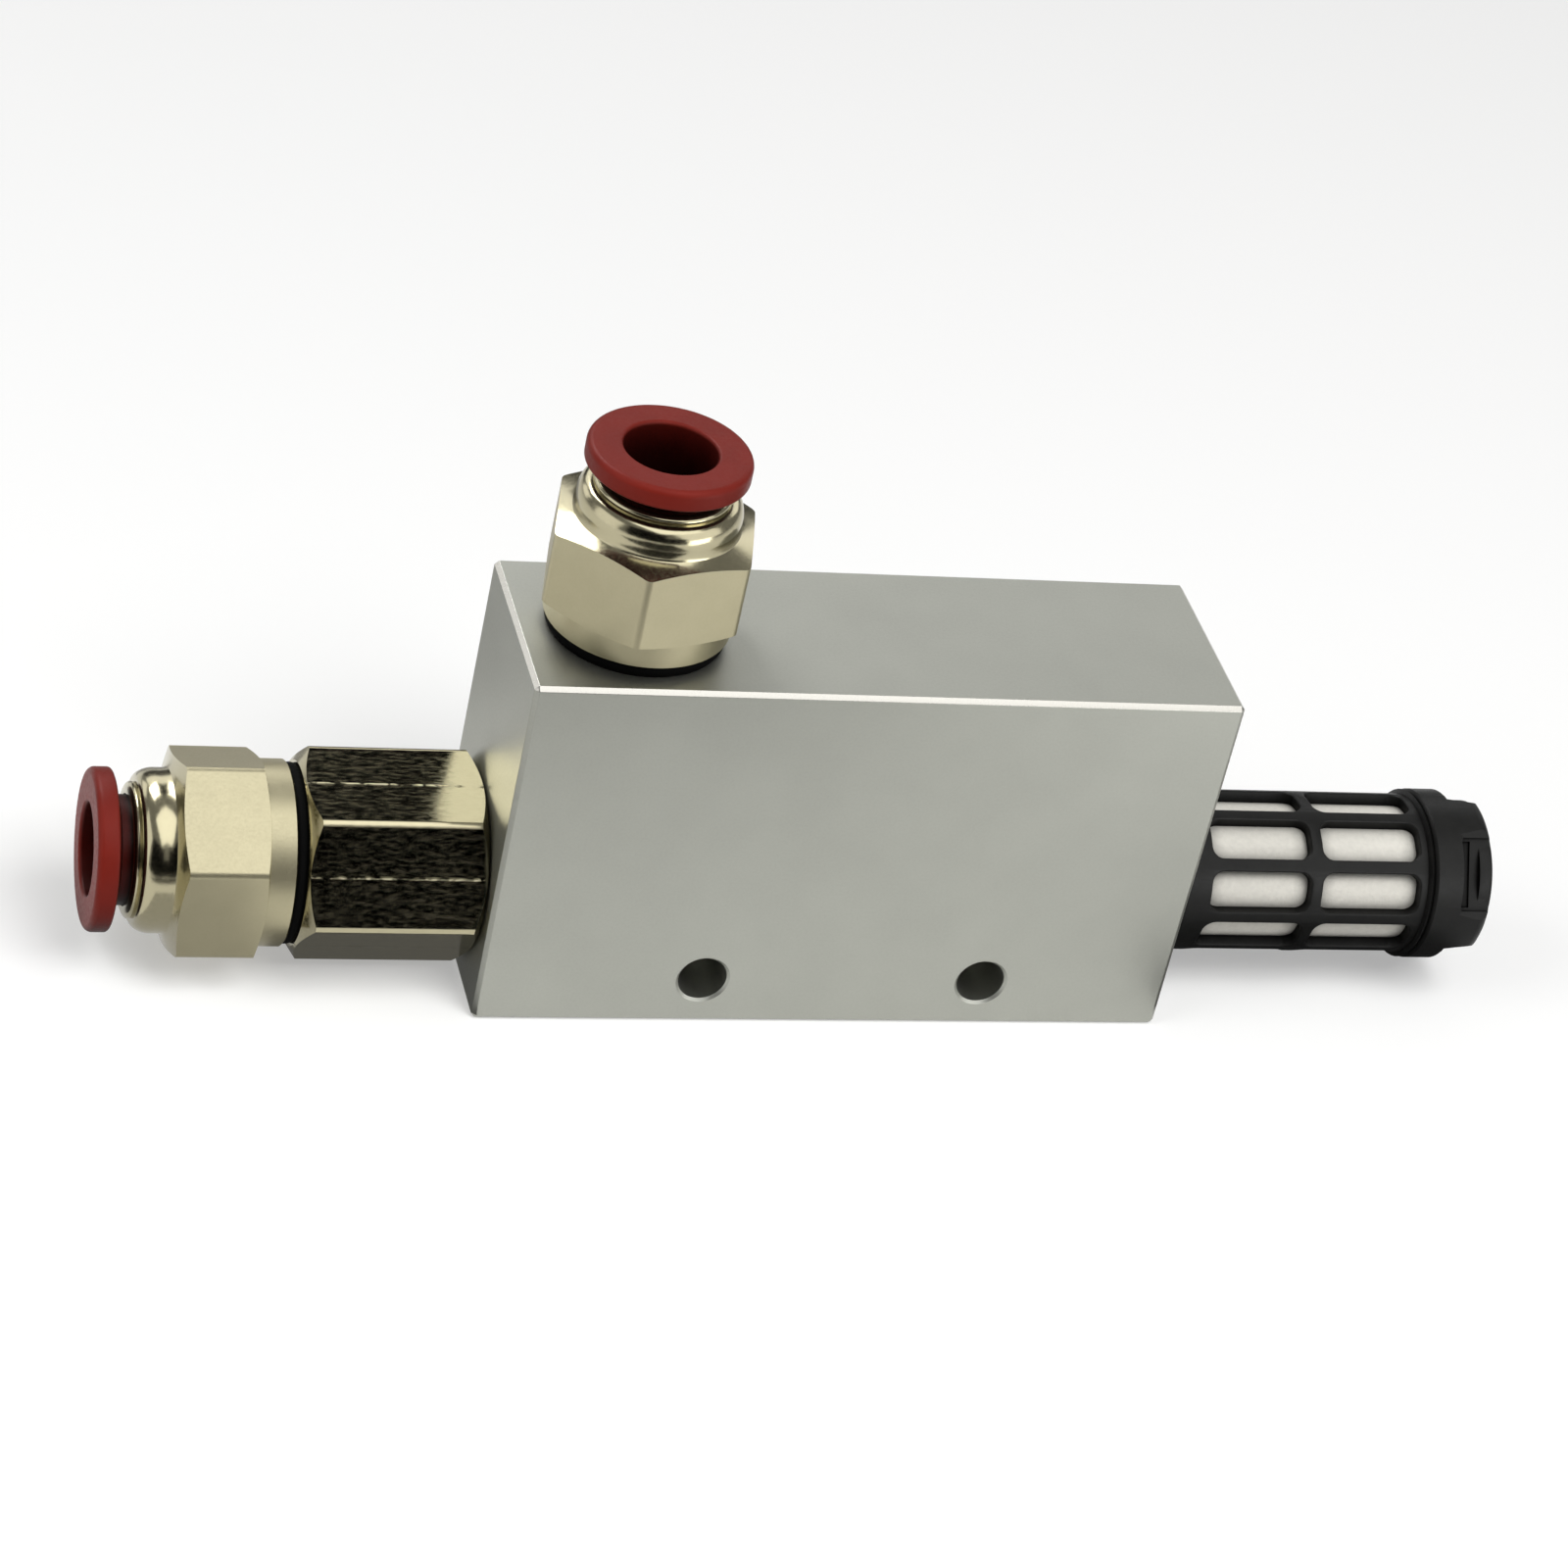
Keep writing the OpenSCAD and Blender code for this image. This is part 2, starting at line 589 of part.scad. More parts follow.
module fitting_body(seal_gap, turn) {
    slope = tan(hex_cone_angle);
    reach = hex_af / cos(30) / 2 + 1;
    flange_r = flange_d / 2;
    edge = neck_rounding;
    difference() {
        union() {
            thread_blank(-seal_gap - fitting_thread_length, 0);
            cylinder(r = flange_r, h = flange_length + 1);
            intersection() {
                rotate([0, 0, turn]) hex_bar(hex_af, flange_length, hex_top);
                turned([
                    [0, flange_length], [flange_r, flange_length],
                    [reach, flange_length + (reach - flange_r) * slope],
                    [reach, hex_top - (reach - neck_foot_r) * slope], [neck_foot_r, hex_top], [0, hex_top]
                ]);
            }
            turned(concat(
                [[0, hex_top - 1], [neck_foot_r, hex_top - 1], [neck_foot_r, hex_top]],
                arc(neck_r - edge, neck_end - edge, edge, 0, 90, 3),
                [[dome_r - crease_depth, neck_end], [dome_r - crease_depth, dome_start]],
                dome_arc(),
                [[0, mouth]]
            ));
        }
        fitting_cavity(seal_gap, turn);
    }
}

// The dome's outline from its foot up to the body's mouth
function dome_arc() = [
    for (i = [0:8]) let (a = i * 90 / 8)
        [mouth_r + dome_swell * cos(a), dome_start + dome_height * sin(a)]
];

// The air passage, key socket, tube socket and the bores for the seal and the guide ring
module fitting_cavity(seal_gap, turn) {
    low = -seal_gap - fitting_thread_length - 1;
    translate([0, 0, low]) cylinder(r = key_socket_af / 2 - key_ledge, h = tube_stop - low + 1);
    rotate([0, 0, turn]) hex_bar(key_socket_af, tube_stop - key_socket_length, tube_stop + 1);
    translate([0, 0, tube_stop]) cylinder(r = socket_r, h = mouth);
    translate([0, 0, socket_end]) cylinder(r = seal_r, h = mouth);
    translate([0, 0, claw_seat]) cylinder(r = guide_r, h = mouth);
}

// The lip seal: its two lips point down, towards the pressure
module tube_seal() {
    tip = tube_r - seal_squeeze;
    heel = tube_r + seal_heel_gap;
    outer = seal_r - seal_fit;
    turned([
        [tip, socket_end + seal_lip], [tip + seal_lip, socket_end],
        [(tip + outer) / 2, socket_end + seal_valley], [outer - seal_lip, socket_end],
        [outer, socket_end + seal_lip], [outer, seal_end - seal_edge],
        [outer - seal_edge, seal_end], [heel + seal_edge, seal_end], [heel, seal_end - seal_edge],
        [heel, socket_end + seal_valley + seal_lip], [tip, socket_end + 2 * seal_lip]
    ]);
}

// A thin steel ring whose teeth lean inwards and down to grip the tube
module lock_claws() {
    t = claw_thickness;
    slot = 360 / claw_count;
    difference() {
        turned([
            [claw_tip_r, claw_tip], [claw_tip_r + t, claw_tip], [claw_ring_r + t, claw_seat],
            [guide_r, claw_seat], [guide_r, claw_top], [claw_ring_r, claw_top], [claw_tip_r, claw_tip + t]
        ]);
        for (i = [0:claw_count - 1]) rotate([0, 0, i * slot])
            translate([0, -claw_slot_w / 2, claw_tip - 1])
                cube([claw_ring_r + claw_slot_reach, claw_slot_w, claw_tip_drop + t + 2]);
    }
}

// The guide ring holds the claws down and carries the release ring's stem
module guide_ring() {
    lip_r = guide_r + lip_reach;
    flat_r = guide_bore_r + lip_flat;
    turned(concat(
        [[guide_recess_r, claw_top], [guide_r, claw_top], [guide_r, mouth], [lip_r - lip_step, mouth]],
        [for (i = [0:6]) let (a = i * 90 / 6)
            [flat_r + (lip_r - flat_r) * cos(a), mouth + lip_edge + (lip_height - lip_edge) * sin(a)]],
        [[guide_bore_r, lip_end], [guide_bore_r, guide_shoulder], [guide_recess_r, guide_shoulder]]
    ));
}

// The release ring: a flange to press, and a slotted stem with a retaining bead
module release_ring() {
    flange_r = release_flange_d / 2;
    edge = release_rounding;
    under_edge = release_under_rounding;
    difference() {
        turned(concat(
            [[stem_bore_r, nose_tip], [stem_bore_r + nose_tip_wall, nose_tip],
                [stem_r, nose_tip + nose_height], [stem_r, bead_base],
                [bead_r, bead_base + bead_lead], [bead_r, bead_base + bead_height],
                [stem_r, bead_base + bead_height], [stem_r, release_under - release_flange_taper]],
            arc(flange_r - under_edge, release_under + under_edge, under_edge, -75, 0, 4),
            arc(flange_r - edge, release_face - edge, edge, 0, 90, 7),
            arc(stem_bore_r + mouth_rounding, release_face - mouth_rounding, mouth_rounding, 90, 180, 5)
        ));
        for (i = [0:stem_slot_count - 1]) rotate([0, 0, stem_slot_turn + i * 360 / stem_slot_count])
            translate([0, -stem_slot_w / 2, nose_tip - 1])
                cube([flange_r, stem_slot_w, mouth - stem_slot_end - nose_tip + 1]);
    }
}

module on_supply() at_holder() translate([0, 0, supply_seal_gap]) children();
module on_vacuum() at_vacuum() translate([0, 0, vacuum_seal_gap]) children();

module supply_fitting_body() color("#c8c2ab") on_supply() fitting_body(supply_seal_gap, supply_hex_turn);
module supply_port_seal() color("#1d1d1b") at_holder() port_seal(supply_seal_gap);
module supply_tube_seal() color("#1d1d1b") on_supply() tube_seal();
module supply_lock_claws() color("#b5b5b5") on_supply() lock_claws();
module supply_guide_ring() color("#c8c2ab") on_supply() guide_ring();
module supply_release_ring() color("#8c2a24") on_supply() release_ring();

module vacuum_fitting_body() color("#c8c2ab") on_vacuum() fitting_body(vacuum_seal_gap, vacuum_hex_turn);
module vacuum_port_seal() color("#1d1d1b") at_vacuum() port_seal(vacuum_seal_gap);
module vacuum_tube_seal() color("#1d1d1b") on_vacuum() tube_seal();
module vacuum_lock_claws() color("#b5b5b5") on_vacuum() lock_claws();
module vacuum_guide_ring() color("#c8c2ab") on_vacuum() guide_ring();
module vacuum_release_ring() color("#8c2a24") on_vacuum() release_ring();

// A window's outline: a rectangle from the origin with round corners
module window_outline(w, h, r) {
    polygon(concat(
        arc(w - r, r, r, -90, 0, 4), arc(w - r, h - r, r, 0, 90, 4),
        arc(r, h - r, r, 90, 180, 4), arc(r, r, r, 180, 270, 4)
    ));
}

module silencer_cage() color("#232321") at_exhaust() difference() {
    pitch = 360 / rib_count;
    window_w = cage_d * sin(pitch / 2) - rib_width;
    rim_r = cage_rim_d / 2;
    rim_start = cage_end - cage_rim_length;
    union() {
        thread_blank(-cage_thread_length, 0);
        turned([
            [0, 0], [cage_d / 2, 0], [cage_d / 2, rim_start - cage_rim_lead], [rim_r, rim_start],
            [rim_r, cage_end - parting_chamfer], [rim_r - parting_chamfer, cage_end], [0, cage_end]
        ]);
    }
    translate([0, 0, -cage_thread_length - 1]) cylinder(d = cage_bore_d, h = cage_thread_length + 3);
    translate([0, 0, cage_floor]) cylinder(r = element_d / 2 + element_gap, h = cage_end);
    for (i = [0:rib_count - 1], z = [window_start_1, window_start_2])
        rotate([0, 0, window_turn + i * pitch]) translate([-window_w / 2, cage_d / 2 + 1, z])
            rotate([90, 0, 0]) linear_extrude(cage_d / 4)
                window_outline(window_w, window_length, window_corner);
}

module silencer_element() color("#e9e7df") at_exhaust() difference() {
    translate([0, 0, cage_floor]) cylinder(d = element_d, h = element_end - cage_floor);
    translate([0, 0, cage_floor - 1]) cylinder(d = element_bore_d, h = element_end - cage_floor + 2);
}

module silencer_cap() color("#232321") at_exhaust() {
    wall_r = cap_d / 2;
    spigot_r = element_d / 2 + element_gap - seal_fit;
    flat_z = cage_end + cap_rim;
    top = cap_wall_end + disc_rise;
    difference() {
        union() {
            difference() {
                turned(concat(
                    [[0, cage_end], [wall_r - parting_chamfer, cage_end]],
                    [[wall_r, cage_end + parting_chamfer]],
                    arc(wall_r - cap_rounding, cap_wall_end - cap_rounding, cap_rounding, 0, 90, 6),
                    [[0, cap_wall_end]]
                ));
                for (i = [0:flat_count - 1]) rotate([0, 0, flat_turn + 90 + i * 360 / flat_count]) {
                    translate([flat_af / 2, -wall_r, flat_z]) rotate([0, -flat_lean, 0])
                        cube([cap_d, cap_d, 2 * cap_length]);
                    translate([flat_af / 2 - grip_groove_depth, -grip_groove_w / 2, flat_z])
                        cube([cap_d, grip_groove_w, grip_groove_length]);
                }
            }
            turned(concat(
                [[0, top - disc_height], [disc_d / 2, top - disc_height]],
                arc(disc_d / 2 - disc_rounding, top - disc_rounding, disc_rounding, 0, 90, 4),
                [[0, top]]
            ));
            translate([0, 0, element_end]) cylinder(r = spigot_r, h = spigot_length + 1);
        }
        translate([0, 0, element_end - 1]) cylinder(d = cap_hollow_d, h = spigot_length + cap_rim);
    }
}

ejector_block();
nozzle_holder();
holder_seal();
nozzle();
nozzle_seal();
diffuser();
diffuser_seal();
supply_fitting_body();
supply_port_seal();
supply_tube_seal();
supply_lock_claws();
supply_guide_ring();
supply_release_ring();
vacuum_fitting_body();
vacuum_port_seal();
vacuum_tube_seal();
vacuum_lock_claws();
vacuum_guide_ring();
vacuum_release_ring();
silencer_cage();
silencer_element();
silencer_cap();
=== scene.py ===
"""Dresses the vacuum ejector's solids: fine pieces, finishes, studio and camera.

The file is laid out as an add-on. The sizes and colours are in the property groups, each piece or group of
like pieces has an operator, and the panel in the 3D view's sidebar lists them in the order that main() runs.
Every piece is modelled about its own Z axis in metres and then placed on the frame.
"""

import json
import math

import bpy
from mathutils import Matrix, Vector


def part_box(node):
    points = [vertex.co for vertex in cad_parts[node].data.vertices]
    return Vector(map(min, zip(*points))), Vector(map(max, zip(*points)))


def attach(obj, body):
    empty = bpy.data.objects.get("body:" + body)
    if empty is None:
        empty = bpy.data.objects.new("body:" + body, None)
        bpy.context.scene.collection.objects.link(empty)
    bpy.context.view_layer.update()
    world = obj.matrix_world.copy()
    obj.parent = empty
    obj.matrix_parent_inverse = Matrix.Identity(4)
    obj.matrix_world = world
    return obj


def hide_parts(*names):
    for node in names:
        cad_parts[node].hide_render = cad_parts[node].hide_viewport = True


bl_info = {
    "name": "Vacuum Ejector",
    "version": (1, 0, 0),
    "blender": (4, 5, 0),
    "location": "View3D > Sidebar > Ejector",
    "description": "Models and finishes an inline vacuum ejector around its solids",
    "category": "Object",
}

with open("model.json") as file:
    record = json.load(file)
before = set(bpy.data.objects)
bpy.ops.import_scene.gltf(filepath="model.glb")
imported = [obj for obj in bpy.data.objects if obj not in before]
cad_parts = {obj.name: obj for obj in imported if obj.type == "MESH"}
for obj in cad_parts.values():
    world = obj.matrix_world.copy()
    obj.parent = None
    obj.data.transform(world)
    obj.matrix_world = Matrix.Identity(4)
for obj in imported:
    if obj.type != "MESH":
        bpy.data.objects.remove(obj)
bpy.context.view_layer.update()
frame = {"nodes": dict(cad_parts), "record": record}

MM = 0.001
QUARTER = math.radians(90)
ROUND_SIDES = 144
HOLE_SIDES = 64
SMOOTH_ANGLE = math.radians(28)
OVERSHOOT = 1 * MM
TINY = 1e-6
# A face whose normal rises or falls less than this is upright
UPRIGHT = 0.05
# Below and above the whole of a fitting, from its flange's face
FITTING_BAR = (-20 * MM, 30 * MM)

WHITE = (1, 1, 1, 1)
FLOOR_WIDTH = 12
SENSOR_MM = 36
LAMP_WIDTH = 0.4
KEY_PLACE = (0.16, -0.34, 0.62)
SIDE_PLACE = (-0.5, -0.1, 0.4)
# What the metals see round them. Each card faces a point, from an azimuth and an elevation in degrees and
# a distance, and has a width, a height and a grey level. Lengths are in metres.
ON_LEFT = Vector((-0.05, 0, 0.02))
CARDS = {
    "card_above": (ON_LEFT, -62, 70, 0.5, 0.5, 0.45, 2.1),
    "card_right": (ON_LEFT, -38, 28, 0.6, 0.6, 0.45, 1.5),
    "card_left": (ON_LEFT, 185, 18, 0.5, 0.4, 0.4, 1.3),
    "card_back": (ON_LEFT, 70, 29, 0.5, 0.8, 0.17, 1.6),
    "card_back_left": (ON_LEFT, 108, 49, 0.5, 0.23, 0.23, 7.5),
    "card_back_low": (ON_LEFT, 128, 15, 0.5, 0.2, 0.2, 1.5),
    "card_silencer": (Vector((0.05, 0, 0.012)), -70, 16, 0.12, 0.09, 0.045, 4.5),
    "flag_camera": (ON_LEFT, -115, 10, 0.6, 0.6, 0.8, 0.0),
    "flag_front": (ON_LEFT, -76, 10, 0.35, 0.2, 0.14, 0.0),
    "flag_back": (ON_LEFT, 73, 50, 0.35, 0.14, 0.12, 0.0),
    "flag_back_low": (ON_LEFT, 75, 4, 0.45, 0.5, 0.16, 0.05),
}
# Grey and black flags that lie just above the floor and show only in reflections. Those under the pieces are
# painted shade, the floor's shadow as the metals mirror it, and the front and back ones darken the far
# floor. Each has the middle, the size along X, the size along Y and the grey level
FLAG_RISE = 0.5 * MM
FLOOR_FLAGS = {
    "shade_flag_under_fitting": (Vector((-0.059, -0.008, 0)), 0.018, 0.048, 0.55),
    "shade_flag_under_holder": (Vector((-0.0415, -0.0045, 0)), 0.019, 0.013, 0.14),
    "shade_flag_under_cage": (Vector((0.05, -0.002, 0)), 0.032, 0.036, 0.05),
    "flag_floor_front": (Vector((-0.06, -0.195, 0)), 0.17, 0.24, 0.03),
    "flag_floor_back": (Vector((-0.05, 0.09, 0)), 0.045, 0.1, 0.4),
}

MOUNTS = {mount["name"]: Vector(mount["pos_m"]) for mount in frame["record"]["mounts"]}
LINES = ("supply", "vacuum")


# Property helpers


def length(name, description, millimetres):
    return bpy.props.FloatProperty(
        name=name, description=description, default=millimetres * MM,
        precision=5, unit="LENGTH", subtype="DISTANCE",
    )


def angle(name, description, degrees):
    return bpy.props.FloatProperty(
        name=name, description=description, default=math.radians(degrees), unit="ROTATION", subtype="ANGLE"
    )


def linear(code):
    """A linear colour from an sRGB hex code."""
    parts = [int(code[i : i + 2], 16) / 255 for i in (0, 2, 4)]
    return [p / 12.92 if p <= 0.04045 else ((p + 0.055) / 1.055) ** 2.4 for p in parts] + [1.0]


def colour(name, description, code):
    return bpy.props.FloatVectorProperty(
        name=name, description=description, default=linear(code), size=4, min=0, max=1, subtype="COLOR"
    )


class EjectorBlockSizes(bpy.types.PropertyGroup):
    chamfer: length("Edge chamfer", "Chamfer along every edge of the block", 0.4)
    edge: length("Edge rounding", "Rounding left on the chamfers by deburring", 0.05)
    port_radius: length("Port radius", "Radius of the three threaded ports", 6.625)
    port_chamfer: length("Port chamfer", "Chamfer at the mouth of each port", 0.4)
    supply_depth: length("Supply port depth", "Depth of the supply port", 9)
    vacuum_depth: length("Vacuum port depth", "Depth of the vacuum port", 9.5)
    exhaust_depth: length("Exhaust port depth", "Depth of the exhaust port", 13)
    chamber_radius: length("Chamber radius", "Radius of the vacuum chamber", 5.5)
    chamber_reach: length("Chamber reach", "Distance from the supply end to the chamber's end wall", 17.4)
    diffuser_radius: length("Diffuser bore radius", "Radius of the bore for the diffuser", 3.02)
    suction_radius: length("Suction radius", "Radius of the passage from the vacuum port", 3.5)
    hole_chamfer: length("Hole chamfer", "Chamfer at the rim of each mounting hole", 0.25)


class EjectorHolderSizes(bpy.types.PropertyGroup):
    across_flats: length("Width across flats", "Width across flats of the holder's hexagon", 17)
    corner: length("Corner rounding", "Rounding of the hexagon's long edges", 0.45)
    turn: angle("Hexagon turn", "Turn of the hexagon about the air path", 82.5)
    face_radius: length("Face radius", "Radius of the flat ring at each end", 8.25)
    chamfer_angle: angle("Chamfer angle", "Slope of the corner chamfers from the end plane", 34)
    thread_length: length("Thread length", "Length of the male thread", 8)
    gap: length("Gap", "Gap between the hexagon and the block", 0.1)
    recess_radius: length("Recess radius", "Radius of the recess that holds the seal", 7.85)
    seal_radius: length("Seal radius", "Outer radius of the holder's seal", 7.6)
    seal_section: length("Seal section", "Section radius of the holder's seal", 0.7)
    port_depth: length("Port depth", "Depth of the port for the fitting", 10)
    bore_radius: length("Nozzle bore", "Radius of the bore for the nozzle", 3.47)


class EjectorFittingSizes(bpy.types.PropertyGroup):
    across_flats: length("Width across flats", "Width across flats of the fittings' hexagon", 17)
    corner: length("Corner rounding", "Rounding of the hexagon's long edges", 0.45)
    supply_turn: angle("Supply hexagon turn", "Turn of the supply fitting's hexagon", 54)
    vacuum_turn: angle("Vacuum hexagon turn", "Turn of the vacuum fitting's hexagon", 15)
    thread_radius: length("Thread radius", "Major radius of the male threads", 6.575)
    thread_length: length("Thread length", "Length of the male thread below the port's face", 7.5)
    thread_chamfer: length("Thread chamfer", "Chamfer on the thread's leading end", 0.8)
    undercut_radius: length("Undercut radius", "Radius of the thread's undercut", 5.95)
    undercut_length: length("Undercut length", "Length of the thread's undercut", 1.6)
    flange_radius: length("Flange radius", "Radius of the round flange under the hexagon", 8.3)
    flange_length: length("Flange length", "Length of the round flange", 2.35)
    hex_top: length("Hexagon top", "Height of the hexagon above the flange's face", 10.2)
    cone_angle: angle("End cones", "Slope of the hexagon's two end cones from the end plane", 17)
    neck_foot: length("Neck foot", "Radius of the neck where it meets the hexagon", 7.75)
    neck_radius: length("Neck radius", "Radius of the neck's upper end", 7.3)
    neck_height: length("Neck height", "Height of the neck", 1.1)
    crease: length("Crease", "Height of the crease between the neck and the dome", 0.15)
    crease_radius: length("Crease radius", "Radius of that crease, here flush with the neck", 7.3)
    dome_radius: length("Dome radius", "Radius of the dome's foot", 7.3)
    dome_height: length("Dome height", "Height of the dome", 1.75)
    mouth_radius: length("Mouth radius", "Outer radius of the body's mouth", 6.2)
    guide_radius: length("Guide bore", "Radius of the bore that holds the guide ring", 5.7)
    claw_seat: length("Claw seat", "Height of the claws' seat", 8.2)
    seal_radius: length("Seal bore", "Radius of the bore for the tube seal", 5.35)
    socket_start: length("Tube stop", "Height of the tube's stop", 0.4)
    socket_end: length("Socket end", "Height of the end of the tube socket", 4.3)
    key_flats: length("Key socket", "Width across flats of the key socket", 5.8)
    key_length: length("Key socket length", "Length of the key socket", 4.5)
    passage_radius: length("Passage radius", "Radius of the air passage", 2.8)
    port_seal_radius: length("Port seal radius", "Outer radius of the squeezed port seals", 8.05)
    port_seal_section: length("Port seal section", "Section radius of the port seals", 0.9)


class EjectorReleaseSizes(bpy.types.PropertyGroup):
    guide_bore: length("Guide bore", "Bore of the guide ring around the stem", 4.95)
    guide_recess: length("Guide recess", "Radius of the recess for the stem's bead", 5.3)
    guide_foot: length("Guide foot", "Height of the guide ring's foot", 8.45)
    guide_shoulder: length("Guide shoulder", "Height of the shoulder that holds the bead", 10.3)
    lip_radius: length("Lip radius", "Outer radius of the guide ring's lip", 6.05)
    lip_height: length("Lip height", "Height of the guide ring's lip", 0.7)
    bore: length("Bore", "Bore of the release ring", 4.12)
    stem: length("Stem radius", "Radius of the release ring's stem", 4.87)
    nose: length("Nose", "Height of the tip of the stem's nose", 8.5)
    nose_height: length("Nose height", "Height of the nose cone", 0.85)
    bead_radius: length("Bead radius", "Radius of the retaining bead", 5.22)
    bead_start: length("Bead start", "Height of the retaining bead's foot", 9.65)
    bead_height: length("Bead height", "Height of the retaining bead", 0.6)
    slot_width: length("Slot width", "Width of the four slots in the stem", 0.9)
    slot_end: length("Slot end", "Height at which the slots end", 12.7)
    flange_radius: length("Flange radius", "Radius of the flange that is pressed", 7.25)
    flange_under: length("Flange underside", "Height of the edge of the flange's underside", 15.25)
    flange_taper: length("Flange taper", "Rise of the underside from the stem to the edge", 0.5)
    face: length("Face", "Height of the release ring's face", 17.2)
    rounding: length("Rounding", "Rounding of the flange's outer edge", 0.6)
    mouth_rounding: length("Mouth rounding", "Rounding where the tube enters", 0.35)


class EjectorSilencerSizes(bpy.types.PropertyGroup):
    cage_radius: length("Cage radius", "Outer radius of the cage", 7.5)
    cage_bore: length("Cage bore", "Inner radius of the cage around the element", 6.45)
    thread_length: length("Thread length", "Length of the cage's male thread", 10)
    thread_bore: length("Thread bore", "Bore of the cage's threaded end", 4.5)
    floor: length("Floor", "Height of the cage's floor", 1.5)
    window_starts: bpy.props.FloatVectorProperty(
        name="Window starts", description="Where the two rows of windows start", size=2, precision=5,
        default=(3.5 * MM, 14.5 * MM), unit="LENGTH",
    )
    window_length: length("Window length", "Length of each window", 9.8)
    window_corner: length("Window corner", "Corner radius of the windows", 1.1)
    window_rounding: length("Window rounding", "Rounding of the windows' outer rims", 0.22)
    rib_width: length("Rib width", "Width of each rib", 1.25)
    rib_count: bpy.props.IntProperty(
        name="Ribs", description="Number of ribs around the cage", default=9, min=3
    )
    rib_turn: angle("Rib turn", "Turn of the cage about the air path", 20)
    rim_radius: length("Rim radius", "Outer radius of the cage's rim", 7.95)
    rim_length: length("Rim length", "Length of the cage's rim", 0.4)
    rim_lead: length("Rim lead", "Length of the slope up to the rim", 0.2)
    cage_length: length("Cage length", "Length of the cage beyond the block", 25.6)
    element_radius: length("Element radius", "Radius of the porous element", 6.4)
    element_bore: length("Element bore", "Bore of the porous element", 3.5)
    element_edge: length("Element edges", "Rounding of the element's edges", 0.15)
    cap_radius: length("Cap radius", "Radius of the cap", 8)
    cap_length: length("Cap length", "Length of the cap", 6.1)
    cap_rim: length("Cap rim", "Length of the full rim before the grip flats", 2.8)
    cap_rounding: length("Cap rounding", "Rounding of the cap's end", 1.1)
    cap_edge: length("Cap edges", "Rounding of the cap's other edges", 0.14)
    parting: length("Parting chamfer", "Chamfer on each side of the parting line", 0.3)
    flat_distance: length("Grip flat distance", "Distance from the axis to where a grip flat starts", 7.05)
    flat_lean: angle("Grip flat lean", "Inward lean of the grip flats", 7)
    flat_turn: angle("Grip flat turn", "Turn of the grip flats about the air path", 54)
    pocket_width: length("Pocket width", "Width of the shallow pocket in each grip flat", 6.9)
    pocket_depth: length("Pocket depth", "Depth of that pocket below the flat", 0.25)
    pocket_gap: length("Pocket gap", "Gap from the foot of the flat to the pocket", 0.25)
    groove_width: length("Groove width", "Width of the groove at the foot of each grip flat", 6.2)
    groove_length: length("Groove length", "Length of that groove along the cap", 1.1)
    groove_depth: length("Groove depth", "Depth of that groove below the flat", 0.6)
    disc_radius: length("Disc radius", "Radius of the end disc", 7)
    disc_rise: length("Disc rise", "Rise of the end disc beyond the cap's wall", 0.2)
    spigot: length("Spigot length", "Length of the cap's spigot", 1.1)
    hollow_depth: length("Hollow depth", "Depth of the hollow under the cap", 2.9)


class EjectorColours(bpy.types.PropertyGroup):
    aluminium: colour("Aluminium", "Clear anodised aluminium", "a9aaa2")
    # Given only to the block's top chamfers: bare cut metal that also paints a highlight line round the top
    cut_aluminium: colour("Cut aluminium", "Bare aluminium of the cut edges", "bcbab3")
    nickel: colour("Nickel", "Warm nickel plating", "b1aa8d")
    brass: colour("Brass", "Turned brass", "c9a24d")
    rubber: colour("Rubber", "Black nitrile rubber", "080808")
    steel: colour("Steel", "Stainless spring steel", "b9b8b4")
    acetal: colour("Acetal", "Dark red acetal", "6f1d14")
    nylon: colour("Nylon", "Black nylon", "151514")
    polyethylene: colour("Polyethylene", "Sintered white polyethylene", "dad7ce")


class EjectorStage(bpy.types.PropertyGroup):
    camera_place: bpy.props.FloatVectorProperty(
        name="Camera place", description="Where the camera stands", subtype="TRANSLATION", unit="LENGTH",
        default=(-0.1325, -0.3369, 0.2624), precision=5,
    )
    camera_turn: bpy.props.FloatVectorProperty(
        name="Camera turn", description="How the camera is turned", subtype="EULER", unit="ROTATION",
        default=[math.radians(a) for a in (55.277, -10.973, -13.235)],
    )
    lens: bpy.props.FloatProperty(
        name="Lens", description="Focal length on a 36 mm sensor", default=110.9, unit="CAMERA", min=1
    )
    key_power: bpy.props.FloatProperty(
        name="Key light", description="Power of the lamp above the front", default=4.2, unit="POWER", min=0
    )
    side_power: bpy.props.FloatProperty(
        name="Side light", description="Power of the lamp on the left", default=1.6, unit="POWER", min=0
    )
    room_strength: bpy.props.FloatProperty(
        name="Room", description="Strength of the room's even light", default=0.26, min=0
    )
    floor_colour: colour("Floor", "Pale studio floor", "fcfcfb")
    floor_glow: bpy.props.FloatProperty(
        name="Floor glow", description="Share of plain white in what the camera sees of the floor",
        default=0.35, min=0, max=1,
    )


# Modelling helpers


def arc(radius, height, rounding, start, end, steps=6):
    """Points of an outline on an arc about (radius, height), from start to end in degrees."""
    turns = [math.radians(start + (end - start) * i / steps) for i in range(steps + 1)]
    return [(radius + rounding * math.cos(t), height + rounding * math.sin(t)) for t in turns]


def quarter_oval(inner, outer, low, high, steps):
    """Points of an outline that rises in a quarter of an ellipse from (outer, low) to (inner, high)."""
    turns = [i * QUARTER / steps for i in range(steps + 1)]
    return [(inner + (outer - inner) * math.cos(t), low + (high - low) * math.sin(t)) for t in turns]


def corner_radius(across_flats):
    """Half the width of a hexagon across its corners."""
    return across_flats / 2 / math.cos(math.radians(30))


